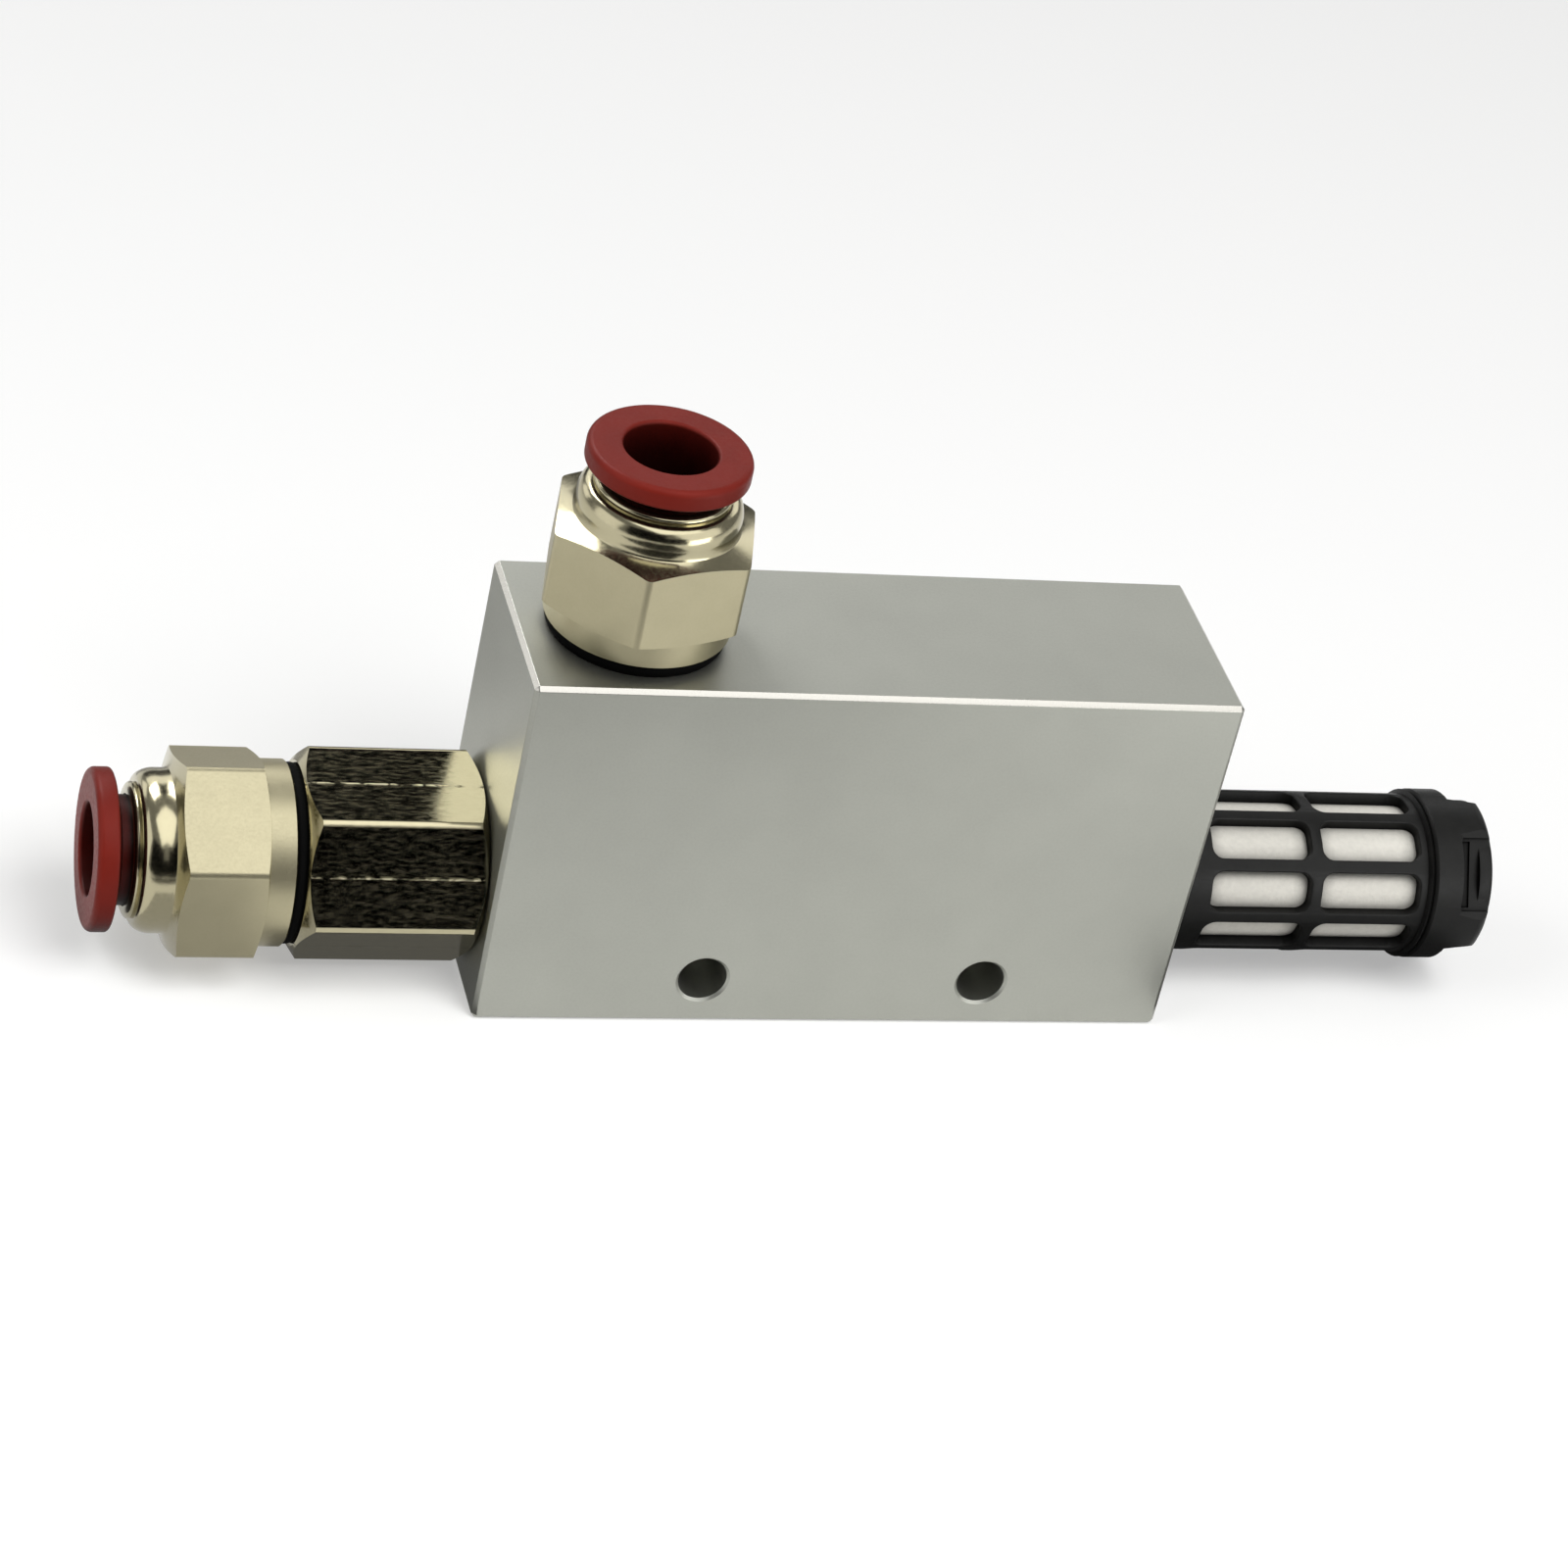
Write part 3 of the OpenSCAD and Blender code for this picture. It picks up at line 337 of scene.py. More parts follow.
def start_edit():
    bpy.ops.object.mode_set(mode="EDIT")
    bpy.ops.mesh.select_all(action="SELECT")


def end_edit():
    bpy.ops.object.mode_set(mode="OBJECT")
    return bpy.context.object


def only(piece):
    """Selects one object and nothing else."""
    bpy.ops.object.select_all(action="DESELECT")
    piece.select_set(True)
    bpy.context.view_layer.objects.active = piece
    return piece


def pick(piece, kind, test):
    """Opens a piece in edit mode with only the vertices, edges or faces that pass a test selected."""
    only(piece)
    bpy.ops.object.mode_set(mode="EDIT")
    bpy.ops.mesh.select_mode(type=kind)
    bpy.ops.mesh.select_all(action="DESELECT")
    bpy.ops.object.mode_set(mode="OBJECT")
    points = piece.data.vertices
    if kind == "FACE":
        for face in piece.data.polygons:
            face.select = test(face)
    elif kind == "EDGE":
        for edge in piece.data.edges:
            edge.select = test(*(points[i].co for i in edge.vertices))
    else:
        for point in points:
            point.select = test(point.co)
    bpy.ops.object.mode_set(mode="EDIT")


def extrude_ring(outline):
    """Extrudes the selected ring of edges through an outline of (radius, height) points about Z."""
    radius, height = outline[0]
    for next_radius, next_height in outline[1:]:
        bpy.ops.mesh.extrude_region_move(
            TRANSFORM_OT_translate={"value": (0, 0, next_height - height), "orient_type": "GLOBAL"}
        )
        share = next_radius / radius
        if abs(share - 1) > 1e-9:
            bpy.ops.transform.resize(value=(share, share, 1), center_override=(0, 0, next_height))
        radius, height = next_radius, next_height


def turned(name, outline, sides=ROUND_SIDES, hollow=True):
    """Turns an outline about Z. A hollow one is closed on itself, and a solid one ends in two flats."""
    bpy.ops.object.select_all(action="DESELECT")
    radius, height = outline[0]
    bpy.ops.mesh.primitive_circle_add(
        vertices=sides, radius=radius, fill_type="NOTHING" if hollow else "NGON", location=(0, 0, height)
    )
    bpy.ops.object.transform_apply(location=True)
    bpy.context.object.name = name
    start_edit()
    extrude_ring(outline + outline[:1] if hollow else outline)
    bpy.ops.mesh.select_all(action="SELECT")
    bpy.ops.mesh.remove_doubles(threshold=1e-7)
    bpy.ops.mesh.normals_make_consistent(inside=False)
    return end_edit()


def hexagon(name, across_flats, low, high, corner=0.0):
    """A hexagon bar about Z with its long edges rounded."""
    bpy.ops.object.select_all(action="DESELECT")
    bpy.ops.mesh.primitive_cylinder_add(
        vertices=6, radius=corner_radius(across_flats), depth=high - low, location=(0, 0, (low + high) / 2)
    )
    bpy.ops.object.transform_apply(location=True)
    bar = bpy.context.object
    bar.name = name
    # The primitive's first corner is on +Y, and the source's is on +X
    bar.data.transform(Matrix.Rotation(-QUARTER, 4, "Z"))
    if corner:
        pick(bar, "EDGE", lambda a, b: abs(a.z - b.z) > (high - low) / 2)
        bpy.ops.mesh.bevel(offset=corner, segments=4, affect="EDGES")
        end_edit()
    return bar


def box(name, size, place, turn=None):
    """A plain cutter box. turn is a matrix that is applied before it is placed."""
    bpy.ops.object.select_all(action="DESELECT")
    bpy.ops.mesh.primitive_cube_add(size=1)
    cutter = bpy.context.object
    cutter.name = name
    cutter.data.transform(Matrix.Diagonal((*size, 1)))
    cutter.data.transform(Matrix.Translation(place))
    if turn:
        cutter.data.transform(turn)
    return cutter


def combine(piece, other, operation):
    """Cuts, joins or intersects a piece with another, which is used up."""
    only(piece)
    modifier = piece.modifiers.new(operation.title(), "BOOLEAN")
    modifier.operation = operation
    modifier.solver = "EXACT"
    modifier.object = other
    bpy.ops.object.modifier_apply(modifier=modifier.name)
    bpy.data.objects.remove(other)
    return piece


def soften(piece, width, sharp=40):
    """Rounds the edges that are sharper than an angle in degrees."""
    only(piece)
    modifier = piece.modifiers.new("Soften", "BEVEL")
    modifier.width = width
    modifier.segments = 2
    modifier.limit_method = "ANGLE"
    modifier.angle_limit = math.radians(sharp)
    modifier.use_clamp_overlap = True
    bpy.ops.object.modifier_apply(modifier=modifier.name)
    return piece


def finish(piece, node, body, material, where=None):
    """Places a piece on the frame, smooths it and lets it stand for its solid."""
    only(piece)
    if where:
        piece.data.transform(where)
    bpy.ops.object.shade_smooth_by_angle(angle=SMOOTH_ANGLE)
    modifier = piece.modifiers.new("Normals", "WEIGHTED_NORMAL")
    modifier.keep_sharp = True
    bpy.ops.object.modifier_apply(modifier=modifier.name)
    piece.name = node + "_dressed"
    piece.data.name = piece.name
    if not piece.data.materials:
        piece.data.materials.append(material)
    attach(piece, body)
    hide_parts(node)
    return piece


def slot_of(node):
    return next(part["material_slot"] for part in frame["record"]["subparts"] if part["node"] == node)


def body_of(node):
    bodies = frame["record"]["behaviour"]["bodies"]
    return next(body for body, nodes in bodies.items() if node in nodes)


# Where things are on the frame


def on_air_path(x, turn):
    """A place on the air path with its own Z along X: to the left for -QUARTER, to the right for QUARTER."""
    mouth = MOUNTS["supply_tube_socket"]
    return Matrix.Translation((x, mouth.y, mouth.z)) @ Matrix.Rotation(turn, 4, "Y")


def fitting_place(line):
    """The flange face of the supply or the vacuum fitting, with the fitting's own Z pointing out."""
    low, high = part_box(line + "_port_seal")
    if line == "supply":
        return on_air_path(low.x, -QUARTER)
    mouth = MOUNTS["vacuum_tube_socket"]
    return Matrix.Translation((mouth.x, mouth.y, high.z))


def supply_port_place():
    return on_air_path(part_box("ejector_block")[0].x, -QUARTER)


def exhaust_port_place():
    return on_air_path(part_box("ejector_block")[1].x, QUARTER)


def seal_gap(node):
    """How thick a squeezed seal is."""
    low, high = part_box(node)
    return min(high - low)


def mount_size(name, size):
    """One of a mount's stated sizes, in metres."""
    mount = next(mount for mount in frame["record"]["mounts"] if mount["name"] == name)
    return mount["dims"][size] * MM


# Material helpers


def add_node(tree, kind, settings=None, links=None):
    """Adds one shader node, sets its sockets or options, and links its inputs."""
    node = tree.nodes.new(kind)
    for name, value in (settings or {}).items():
        if isinstance(name, int) or name in node.inputs:
            node.inputs[name].default_value = value
        else:
            setattr(node, name, value)
    for name, source in (links or {}).items():
        tree.links.new(source, node.inputs[name])
    return node


def empty_material(name):
    material = bpy.data.materials.new(name)
    material.use_nodes = True
    material.node_tree.nodes.clear()
    return material, material.node_tree


def new_material(name):
    """A material with its node tree emptied, and Object coordinates in metres for its patterns."""
    material, tree = empty_material(name)
    place = add_node(tree, "ShaderNodeTexCoord").outputs["Object"]
    return material, tree, place


def grain(tree, place, size_mm, detail=2.0, stretch=(1, 1, 1)):
    """A noise whose blotches are about size_mm across, drawn out by stretch."""
    scale = [1 / s for s in stretch]
    mapped = add_node(tree, "ShaderNodeMapping", {"Scale": scale}, {"Vector": place})
    settings = {"Scale": 1 / (size_mm * MM), "Detail": detail}
    return add_node(tree, "ShaderNodeTexNoise", settings, {"Vector": mapped.outputs[0]}).outputs["Fac"]


def spread(tree, fac, low, high, start=0.35, end=0.65):
    """Maps the middle of a noise's range onto low to high."""
    settings = {"From Min": start, "From Max": end, "To Min": low, "To Max": high}
    return add_node(tree, "ShaderNodeMapRange", settings, {"Value": fac}).outputs["Result"]


def shade(tree, fac, base, darkest, lightest):
    """The base colour, made darker and lighter by a noise."""
    ramp = add_node(tree, "ShaderNodeValToRGB", links={"Fac": fac})
    ramp.color_ramp.elements[0].position = 0.3
    ramp.color_ramp.elements[1].position = 0.7
    ramp.color_ramp.elements[0].color = [c * darkest for c in base[:3]] + [1]
    ramp.color_ramp.elements[1].color = [min(1, c * lightest) for c in base[:3]] + [1]
    return ramp.outputs["Color"]


def openness(tree, reach_mm):
    """How far a point of the surface lies open, from 0 deep between its own walls to 1. It drives the
    painted shade in hollows.
    """
    settings = {"Distance": reach_mm * MM, "samples": 8}
    return add_node(tree, "ShaderNodeAmbientOcclusion", settings).outputs["AO"]


def paint_hollow_shade(tree, tint, reach_mm, darkest, start=0.5):
    """The colour with painted shade: darkened where the surface lies deep between its own walls."""
    level = spread(tree, openness(tree, reach_mm), darkest, 1.0, start, 0.95)
    settings = {"data_type": "RGBA", "blend_type": "MULTIPLY", "Factor": 1.0}
    return add_node(tree, "ShaderNodeMix", settings, {"A": tint, "B": level}).outputs["Result"]


def bumps(tree, height, distance_mm, strength=1.0, normal=None):
    links = {"Height": height}
    if normal:
        links["Normal"] = normal
    settings = {"Strength": strength, "Distance": distance_mm * MM}
    return add_node(tree, "ShaderNodeBump", settings, links).outputs["Normal"]


def surface(tree, settings, links):
    shader = add_node(tree, "ShaderNodeBsdfPrincipled", settings, links)
    add_node(tree, "ShaderNodeOutputMaterial", links={"Surface": shader.outputs[0]})


def metal(tree, tint, rough, normal):
    surface(tree, {"Metallic": 1.0}, {"Base Color": tint, "Roughness": rough, "Normal": normal})


def anodised_aluminium(colours):
    """Bead blasted and clear anodised: an even matt grey with a fine sparkle and faint handling clouds."""
    material, tree, place = new_material("anodised_aluminium")
    fine = grain(tree, place, 0.25, detail=3)
    clouds = grain(tree, place, 7, detail=4)
    tint = shade(tree, clouds, colours.aluminium, 0.97, 1.02)
    rough = spread(tree, fine, 0.42, 0.5)
    normal = bumps(tree, fine, 0.012, 0.6)
    metal(tree, tint, rough, normal)
    return material


def cut_aluminium(colours):
    """Chamfers cut after the anodising: bare bright metal, given only to the chamfers round the top, where
    it paints a pale highlight line.
    """
    material, tree, place = new_material("cut_chamfer_highlight_metal")
    fine = grain(tree, place, 0.2)
    tint = shade(tree, fine, colours.cut_aluminium, 0.97, 1.02)
    rough = spread(tree, fine, 0.2, 0.28)
    normal = bumps(tree, fine, 0.006, 0.5)
    metal(tree, tint, rough, normal)
    return material


def bright_nickel(colours):
    """Nickel over drawn hexagon bar: near mirror flats, faintly mottled, with the die's line on each."""
    material, tree, place = new_material("bright_nickel_on_drawn_bar")
    pits = grain(tree, place, 0.3, stretch=(3, 1, 1))
    rough = spread(tree, pits, 0.1, 0.2)
    tint = shade(tree, pits, colours.nickel, 0.92, 1.04)
    line = die_line(tree, place, grain(tree, place, 0.8))
    normal = bumps(tree, line, 0.035, 1.0, bumps(tree, pits, 0.0019, 0.5))
    metal(tree, tint, rough, normal)
    return material


def die_line(tree, place, broken):
    """A low ridge along the middle of each of the holder's flats, broken up by a noise."""
    sizes = bpy.context.scene.ejector_holder
    half_angle = 0.16 * MM / (sizes.across_flats / 2)
    axis = MOUNTS["supply_tube_socket"]
    spot = add_node(tree, "ShaderNodeVectorMath", {"operation": "SUBTRACT", 1: axis}, {0: place})
    parts = add_node(tree, "ShaderNodeSeparateXYZ", links={0: spot.outputs[0]})
    around = math_node(tree, "ARCTAN2", parts.outputs["Y"], parts.outputs["Z"])
    sixth = math.radians(60)
    turned_back = math_node(tree, "SUBTRACT", around, sizes.turn)
    offset = math_node(tree, "PINGPONG", math_node(tree, "SUBTRACT", turned_back, 2 * math.pi), sixth / 2)
    ridge = spread(tree, offset, 0.0, 1.0, sixth / 2 - half_angle, sixth / 2)
    return math_node(tree, "MULTIPLY", ridge, spread(tree, broken, 0.1, 0.9))


def math_node(tree, operation, first, second):
    """One step of arithmetic on sockets or numbers."""
    values = dict(enumerate((first, second)))
    links = {i: value for i, value in values.items() if isinstance(value, bpy.types.NodeSocket)}
    settings = {i: value for i, value in values.items() if i not in links}
    return add_node(tree, "ShaderNodeMath", {"operation": operation, **settings}, links).outputs[0]


def satin_nickel(colours):
    """Nickel plated over barrelled brass: the flats are satin and scatter light evenly."""
    material, tree, place = new_material("satin_nickel_flats")
    fine = grain(tree, place, 0.22)
    clouds = grain(tree, place, 3)
    rough = spread(tree, fine, 0.36, 0.44)
    tint = shade(tree, clouds, colours.nickel, 0.97, 1.02)
    normal = bumps(tree, fine, 0.008, 0.5)
    metal(tree, tint, rough, normal)
    return material


def turned_nickel(colours):
    """Nickel plated over fine turned brass: rings of bright and dark reflection with faint tool marks."""
    material, tree, place = new_material("polished_nickel_turned")
    fine = grain(tree, place, 0.3)
    rough = spread(tree, fine, 0.15, 0.2)
    tint = shade(tree, fine, colours.nickel, 0.97, 1.02)
    normal = bumps(tree, fine, 0.004, 0.4)
    metal(tree, tint, rough, normal)
    return material


def red_acetal(colours):
    """Moulded acetal: a smooth satin red with a soft waxy highlight on its edges, and painted shade deep in
    its bore.
    """
    material, tree, place = new_material("red_acetal_moulded")
    fine = grain(tree, place, 0.25)
    clouds = grain(tree, place, 2.5)
    rough = spread(tree, fine, 0.38, 0.48)
    # Painted shade: the red darkens deep in the bore and other hollows, where light barely reaches
    tint = paint_hollow_shade(tree, shade(tree, clouds, colours.acetal, 0.93, 1.05), 10, 0.05, start=0.4)
    normal = bumps(tree, fine, 0.01, 0.4)
    settings = {"IOR": 1.48, "Specular IOR Level": 0.12}
    surface(tree, settings, {"Base Color": tint, "Roughness": rough, "Normal": normal})
    return material


def black_nylon(colours):
    """Moulded nylon: near black, with a fine spark-eroded texture that greys its highlights, and painted
    shade in its hollows, where its reflections are dimmed too.
    """
    material, tree, place = new_material("black_nylon_moulded")
    fine = grain(tree, place, 0.18)
    clouds = grain(tree, place, 1.5)
    rough = spread(tree, fine, 0.38, 0.48)
    # Painted shade: the colour darkens in the windows and other hollows
    tint = paint_hollow_shade(tree, shade(tree, clouds, colours.nylon, 0.85, 1.15), 1.5, 0.1, start=0.3)
    # Painted shade on the reflections: the specular level falls in the same hollows
    hollow_shaded_gleam = spread(tree, openness(tree, 1.5), 0.02, 0.15, 0.55, 0.95)
    normal = bumps(tree, fine, 0.012, 0.5)
    links = {"Base Color": tint, "Roughness": rough, "Specular IOR Level": hollow_shaded_gleam, "Normal": normal}
    surface(tree, {"IOR": 1.53}, links)
    return material


def porous_polyethylene(colours):
    """Sintered polyethylene beads: chalk white, granular and quite without gloss, with painted shade at the
    rims of the cage's windows.
    """
    material, tree, place = new_material("porous_polyethylene_sintered")
    links = {"Vector": place}
    beads = add_node(tree, "ShaderNodeTexVoronoi", {"Scale": 1 / (0.28 * MM)}, links).outputs["Distance"]
    fine = grain(tree, place, 0.5)
    # Painted shade: the white darkens where the cage's walls close round it
    tint = paint_hollow_shade(tree, shade(tree, fine, colours.polyethylene, 0.95, 1.03), 1.6, 0.35)
    normal = bumps(tree, beads, 0.04, 0.5)
    surface(tree, {"Roughness": 0.9, "IOR": 1.5}, {"Base Color": tint, "Normal": normal})
    return material


def nitrile_rubber(colours):
    """Moulded nitrile: black, smooth and dull, with a trace of assembly grease, and painted shade in its
    crevices.
    """
    material, tree, place = new_material("nitrile_rubber_moulded")
    fine = grain(tree, place, 0.3)
    rough = spread(tree, fine, 0.6, 0.75)
    # Painted shade: the black darkens further in the crevices
    tint = paint_hollow_shade(tree, shade(tree, fine, colours.rubber, 0.8, 1.2), 2, 0.3)
    normal = bumps(tree, fine, 0.01, 0.4)
    settings = {"IOR": 1.52, "Specular IOR Level": 0.04}
    surface(tree, settings, {"Base Color": tint, "Roughness": rough, "Normal": normal})
    return material


def turned_brass(colours):
    """Plain brass from the lathe: yellow, with fine rings left by the tool."""
    material, tree, place = new_material("brass_turned")
    rings = grain(tree, place, 0.2, stretch=(1, 30, 30))
    rough = spread(tree, rings, 0.22, 0.36)
    tint = shade(tree, rings, colours.brass, 0.94, 1.04)
    normal = bumps(tree, rings, 0.01, 0.5)
    metal(tree, tint, rough, normal)
    return material


def spring_steel(colours):
    """Stamped stainless strip: bright, with the rolling grain of the sheet."""
    material, tree, place = new_material("spring_steel_stamped")
    strip = grain(tree, place, 0.2, stretch=(1, 12, 1))
    rough = spread(tree, strip, 0.25, 0.38)
    tint = shade(tree, strip, colours.steel, 0.95, 1.03)
    normal = bumps(tree, strip, 0.006, 0.4)
    metal(tree, tint, rough, normal)
    return material


FINISHES = {
    "anodised_aluminium": anodised_aluminium,
    "cut_aluminium": cut_aluminium,
    "polished_nickel": bright_nickel,
    "satin_nickel": satin_nickel,
    "turned_nickel": turned_nickel,
    "turned_brass": turned_brass,
    "nitrile_rubber": nitrile_rubber,
    "spring_steel": spring_steel,
    "red_acetal": red_acetal,
    "black_nylon": black_nylon,
    "porous_polyethylene": porous_polyethylene,
}


def finish_for(context, name):
    """The material of that finish, made the first time that it is asked for."""
    material = bpy.data.materials.get(context.scene.get("finish_" + name, ""))
    if material is None:
        material = FINISHES[name](context.scene.ejector_colours)
        context.scene["finish_" + name] = material.name
    return material


# The pieces


class EJECTOR_OT_block(bpy.types.Operator):
    """Model the aluminium block with its ports, passages and mounting holes"""

    bl_idname = "ejector.block"
    bl_label = "Block"

    def execute(self, context):
        sizes = context.scene.ejector_block
        low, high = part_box("ejector_block")
        size = high - low
        bpy.ops.object.select_all(action="DESELECT")
        bpy.ops.mesh.primitive_cube_add(size=1)
        block = bpy.context.object
        block.data.transform(Matrix.Translation((low + high) / 2) @ Matrix.Diagonal((*size, 1)))
        for name in ("anodised_aluminium", "cut_aluminium"):
            block.data.materials.append(finish_for(context, name))
        start_edit()
        bpy.ops.mesh.bevel(offset=sizes.chamfer, segments=1, affect="EDGES", material=1)
        end_edit()
        soften(block, sizes.edge, sharp=30)
        # Only the chamfers round the top keep the brighter metal, a painted highlight along the top edges
        pick(block, "FACE", lambda face: face.center.z < high.z - sizes.chamfer)
        block.active_material_index = 0
        bpy.ops.object.material_slot_assign()
        bpy.ops.mesh.select_mode(type="VERT")
        end_edit()
        cutters = [self.air_path(sizes, size.x), self.vacuum_port(sizes, high.z)]
        for cutter in (*cutters, *self.holes(sizes, size.y)):
            combine(block, cutter, "DIFFERENCE")
        finish(block, "ejector_block", body_of("ejector_block"), None)
        return {"FINISHED"}

    def mouth(self, sizes, face, out):
        """The countersunk mouth of a port, from outside the face to the foot of its chamfer."""
        reach = OVERSHOOT * out
        radius = sizes.port_radius
        return [
            (radius + sizes.port_chamfer + OVERSHOOT, face + reach),
            (radius, face - sizes.port_chamfer * out),
        ]

    def air_path(self, sizes, long):
        port, bore, chamber = sizes.port_radius, sizes.diffuser_radius, sizes.chamber_radius
        exhaust_end = sizes.exhaust_depth - long
        outline = [
            *self.mouth(sizes, -long, -1),
            (port, exhaust_end), (bore, exhaust_end), (bore, -sizes.chamber_reach),
            (chamber, -sizes.chamber_reach), (chamber, -sizes.supply_depth), (port, -sizes.supply_depth),
            *self.mouth(sizes, 0, 1)[::-1],
        ]
        cutter = turned("air_path_cutter", outline, hollow=False)
        cutter.data.transform(supply_port_place())
        return cutter

    def vacuum_port(self, sizes, top):
        axis = MOUNTS["vacuum_tube_socket"]
        drop = MOUNTS["supply_tube_socket"].z - top
        outline = [
            (sizes.suction_radius, drop), (sizes.suction_radius, -sizes.vacuum_depth),
            (sizes.port_radius, -sizes.vacuum_depth), *self.mouth(sizes, 0, 1)[::-1],
        ]
        cutter = turned("vacuum_port_cutter", outline, hollow=False)
        cutter.data.transform(Matrix.Translation((axis.x, axis.y, top)))
        return cutter

    def holes(self, sizes, deep):
        """A cutter for each mounting hole, countersunk at both ends."""
        radius = mount_size("mounting_holes", "hole_r_mm")
        spacing = mount_size("mounting_holes", "spacing_x_mm")
        wide = radius + sizes.hole_chamfer + OVERSHOOT
        end = deep / 2
        outline = [
            (wide, -end - OVERSHOOT), (radius, sizes.hole_chamfer - end),
            (radius, end - sizes.hole_chamfer), (wide, end + OVERSHOOT),
        ]
        for side in (-1, 1):
            place = MOUNTS["mounting_holes"] + Vector((side * spacing / 2, 0, 0))
            cutter = turned("hole_cutter", outline, HOLE_SIDES, hollow=False)
            cutter.data.transform(Matrix.Translation(place) @ Matrix.Rotation(QUARTER, 4, "X"))
            yield cutter


def thread_start(sizes, gap, thread_length, bore):
    """The outline of a male thread's blank, from its bore round to the undercut below the shoulder."""
    end = -gap - thread_length
    outside, chamfer = sizes.thread_radius, sizes.thread_chamfer
    return [
        (bore, end), (outside - chamfer, end), (outside, end + chamfer),
        (outside, -sizes.undercut_length), (sizes.undercut_radius, -sizes.undercut_length),
    ]


class EJECTOR_OT_holder(bpy.types.Operator):
    """Model the nozzle holder: a turned blank cut to a hexagon"""

    bl_idname = "ejector.holder"
    bl_label = "Nozzle holder"

    def execute(self, context):
        sizes, common = context.scene.ejector_holder, context.scene.ejector_fitting
        block = context.scene.ejector_block
        recess = seal_gap("holder_seal")
        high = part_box("ejector_block")[0].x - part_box("supply_port_seal")[1].x
        reach = corner_radius(sizes.across_flats) + OVERSHOOT
        rise = (reach - sizes.face_radius) * math.tan(sizes.chamfer_angle)
        port, seat = block.port_radius, high - sizes.port_depth
        thread = thread_start(common, 0, sizes.thread_length + recess, sizes.bore_radius)
        outline = [(radius, height + recess) for radius, height in thread] + [
            (common.undercut_radius, recess), (sizes.recess_radius, recess),
            (sizes.recess_radius, sizes.gap), (sizes.face_radius, sizes.gap), (reach, sizes.gap + rise),
            (reach, high - rise), (sizes.face_radius, high), (port + block.port_chamfer, high),
            (port, high - block.port_chamfer), (port, seat), (sizes.bore_radius, seat),
        ]
        holder = turned("nozzle_holder", outline)
        bar_end = -sizes.thread_length - OVERSHOOT
        bar = hexagon("holder_bar", sizes.across_flats, bar_end, high + OVERSHOOT, sizes.corner)
        bar.data.transform(Matrix.Rotation(sizes.turn, 4, "Z"))
        combine(holder, bar, "INTERSECT")
        nickel = finish_for(context, "polished_nickel")
        finish(holder, "nozzle_holder", body_of("nozzle_holder"), nickel, supply_port_place())
        return {"FINISHED"}


class EJECTOR_OT_fittings(bpy.types.Operator):
    """Model the bodies of the two push-in fittings"""

    bl_idname = "ejector.fittings"
    bl_label = "Fitting bodies"

    def execute(self, context):
        sizes = context.scene.ejector_fitting
        for line, turn in zip(LINES, (sizes.supply_turn, sizes.vacuum_turn)):
            node = line + "_fitting_body"
            body = turned(node, self.outline(sizes, seal_gap(line + "_port_seal")))
            bar = hexagon("fitting_bar", sizes.across_flats, *FITTING_BAR, sizes.corner)
            bar.data.transform(Matrix.Rotation(turn, 4, "Z"))
            combine(body, bar, "INTERSECT")
            key_end = sizes.socket_start - sizes.key_length
            key = hexagon("key_cutter", sizes.key_flats, key_end, sizes.socket_start + OVERSHOOT)
            key.data.transform(Matrix.Rotation(turn, 4, "Z"))
            combine(body, key, "DIFFERENCE")
            self.paint(body, context, sizes)
            finish(body, node, body_of(node), None, fitting_place(line))
        return {"FINISHED"}

    def outline(self, sizes, gap):
        """From the thread's end up over the hexagon, the neck and the dome, and back down inside."""
        reach = corner_radius(sizes.across_flats) + OVERSHOOT
        slope = math.tan(sizes.cone_angle)
        neck_end = sizes.hex_top + sizes.neck_height
        dome_start = neck_end + sizes.crease
        mouth = dome_start + sizes.dome_height
        flange, flange_edge = sizes.flange_radius, 0.12 * MM
        fillet, fillet_foot, fillet_end = 0.1 * MM, 0.2 * MM, 0.5 * MM
        socket = self.socket()
        return [
            *thread_start(sizes, gap, sizes.thread_length, sizes.passage_radius),
            (sizes.undercut_radius, 0), (flange - flange_edge, 0), (flange, flange_edge),
            (flange, sizes.flange_length), (reach, sizes.flange_length + (reach - flange) * slope),
            (reach, sizes.hex_top - (reach - sizes.neck_foot) * slope), (sizes.neck_foot, sizes.hex_top),
            (sizes.neck_radius + fillet, sizes.hex_top + fillet_foot),
            (sizes.neck_radius, sizes.hex_top + fillet_end), (sizes.neck_radius, neck_end),
            (sizes.crease_radius, neck_end + sizes.crease / 2),
            *quarter_oval(sizes.mouth_radius, sizes.dome_radius, dome_start, mouth, 12),
            (sizes.guide_radius, mouth), (sizes.guide_radius, sizes.claw_seat),
            (sizes.seal_radius, sizes.claw_seat), (sizes.seal_radius, sizes.socket_end),
            (socket, sizes.socket_end), (socket, sizes.socket_start),
            (sizes.passage_radius, sizes.socket_start),
        ]

    def socket(self):
        return mount_size("vacuum_tube_socket", "r_mm")

    def paint(self, body, context, sizes):
        """Gives the turned surfaces the polished finish and leaves the hexagon's flats satin."""
        for finish_name in ("satin_nickel", "turned_nickel"):
            body.data.materials.append(finish_for(context, finish_name))
        # Every bore lies within this radius, and every flat beyond it
        bores = self.socket() * 1.5
        for face in body.data.polygons:
            spot = face.center
            outside = 0 < spot.z < sizes.hex_top and spot.xy.length > bores
            face.material_index = 0 if outside and abs(face.normal.z) < UPRIGHT else 1


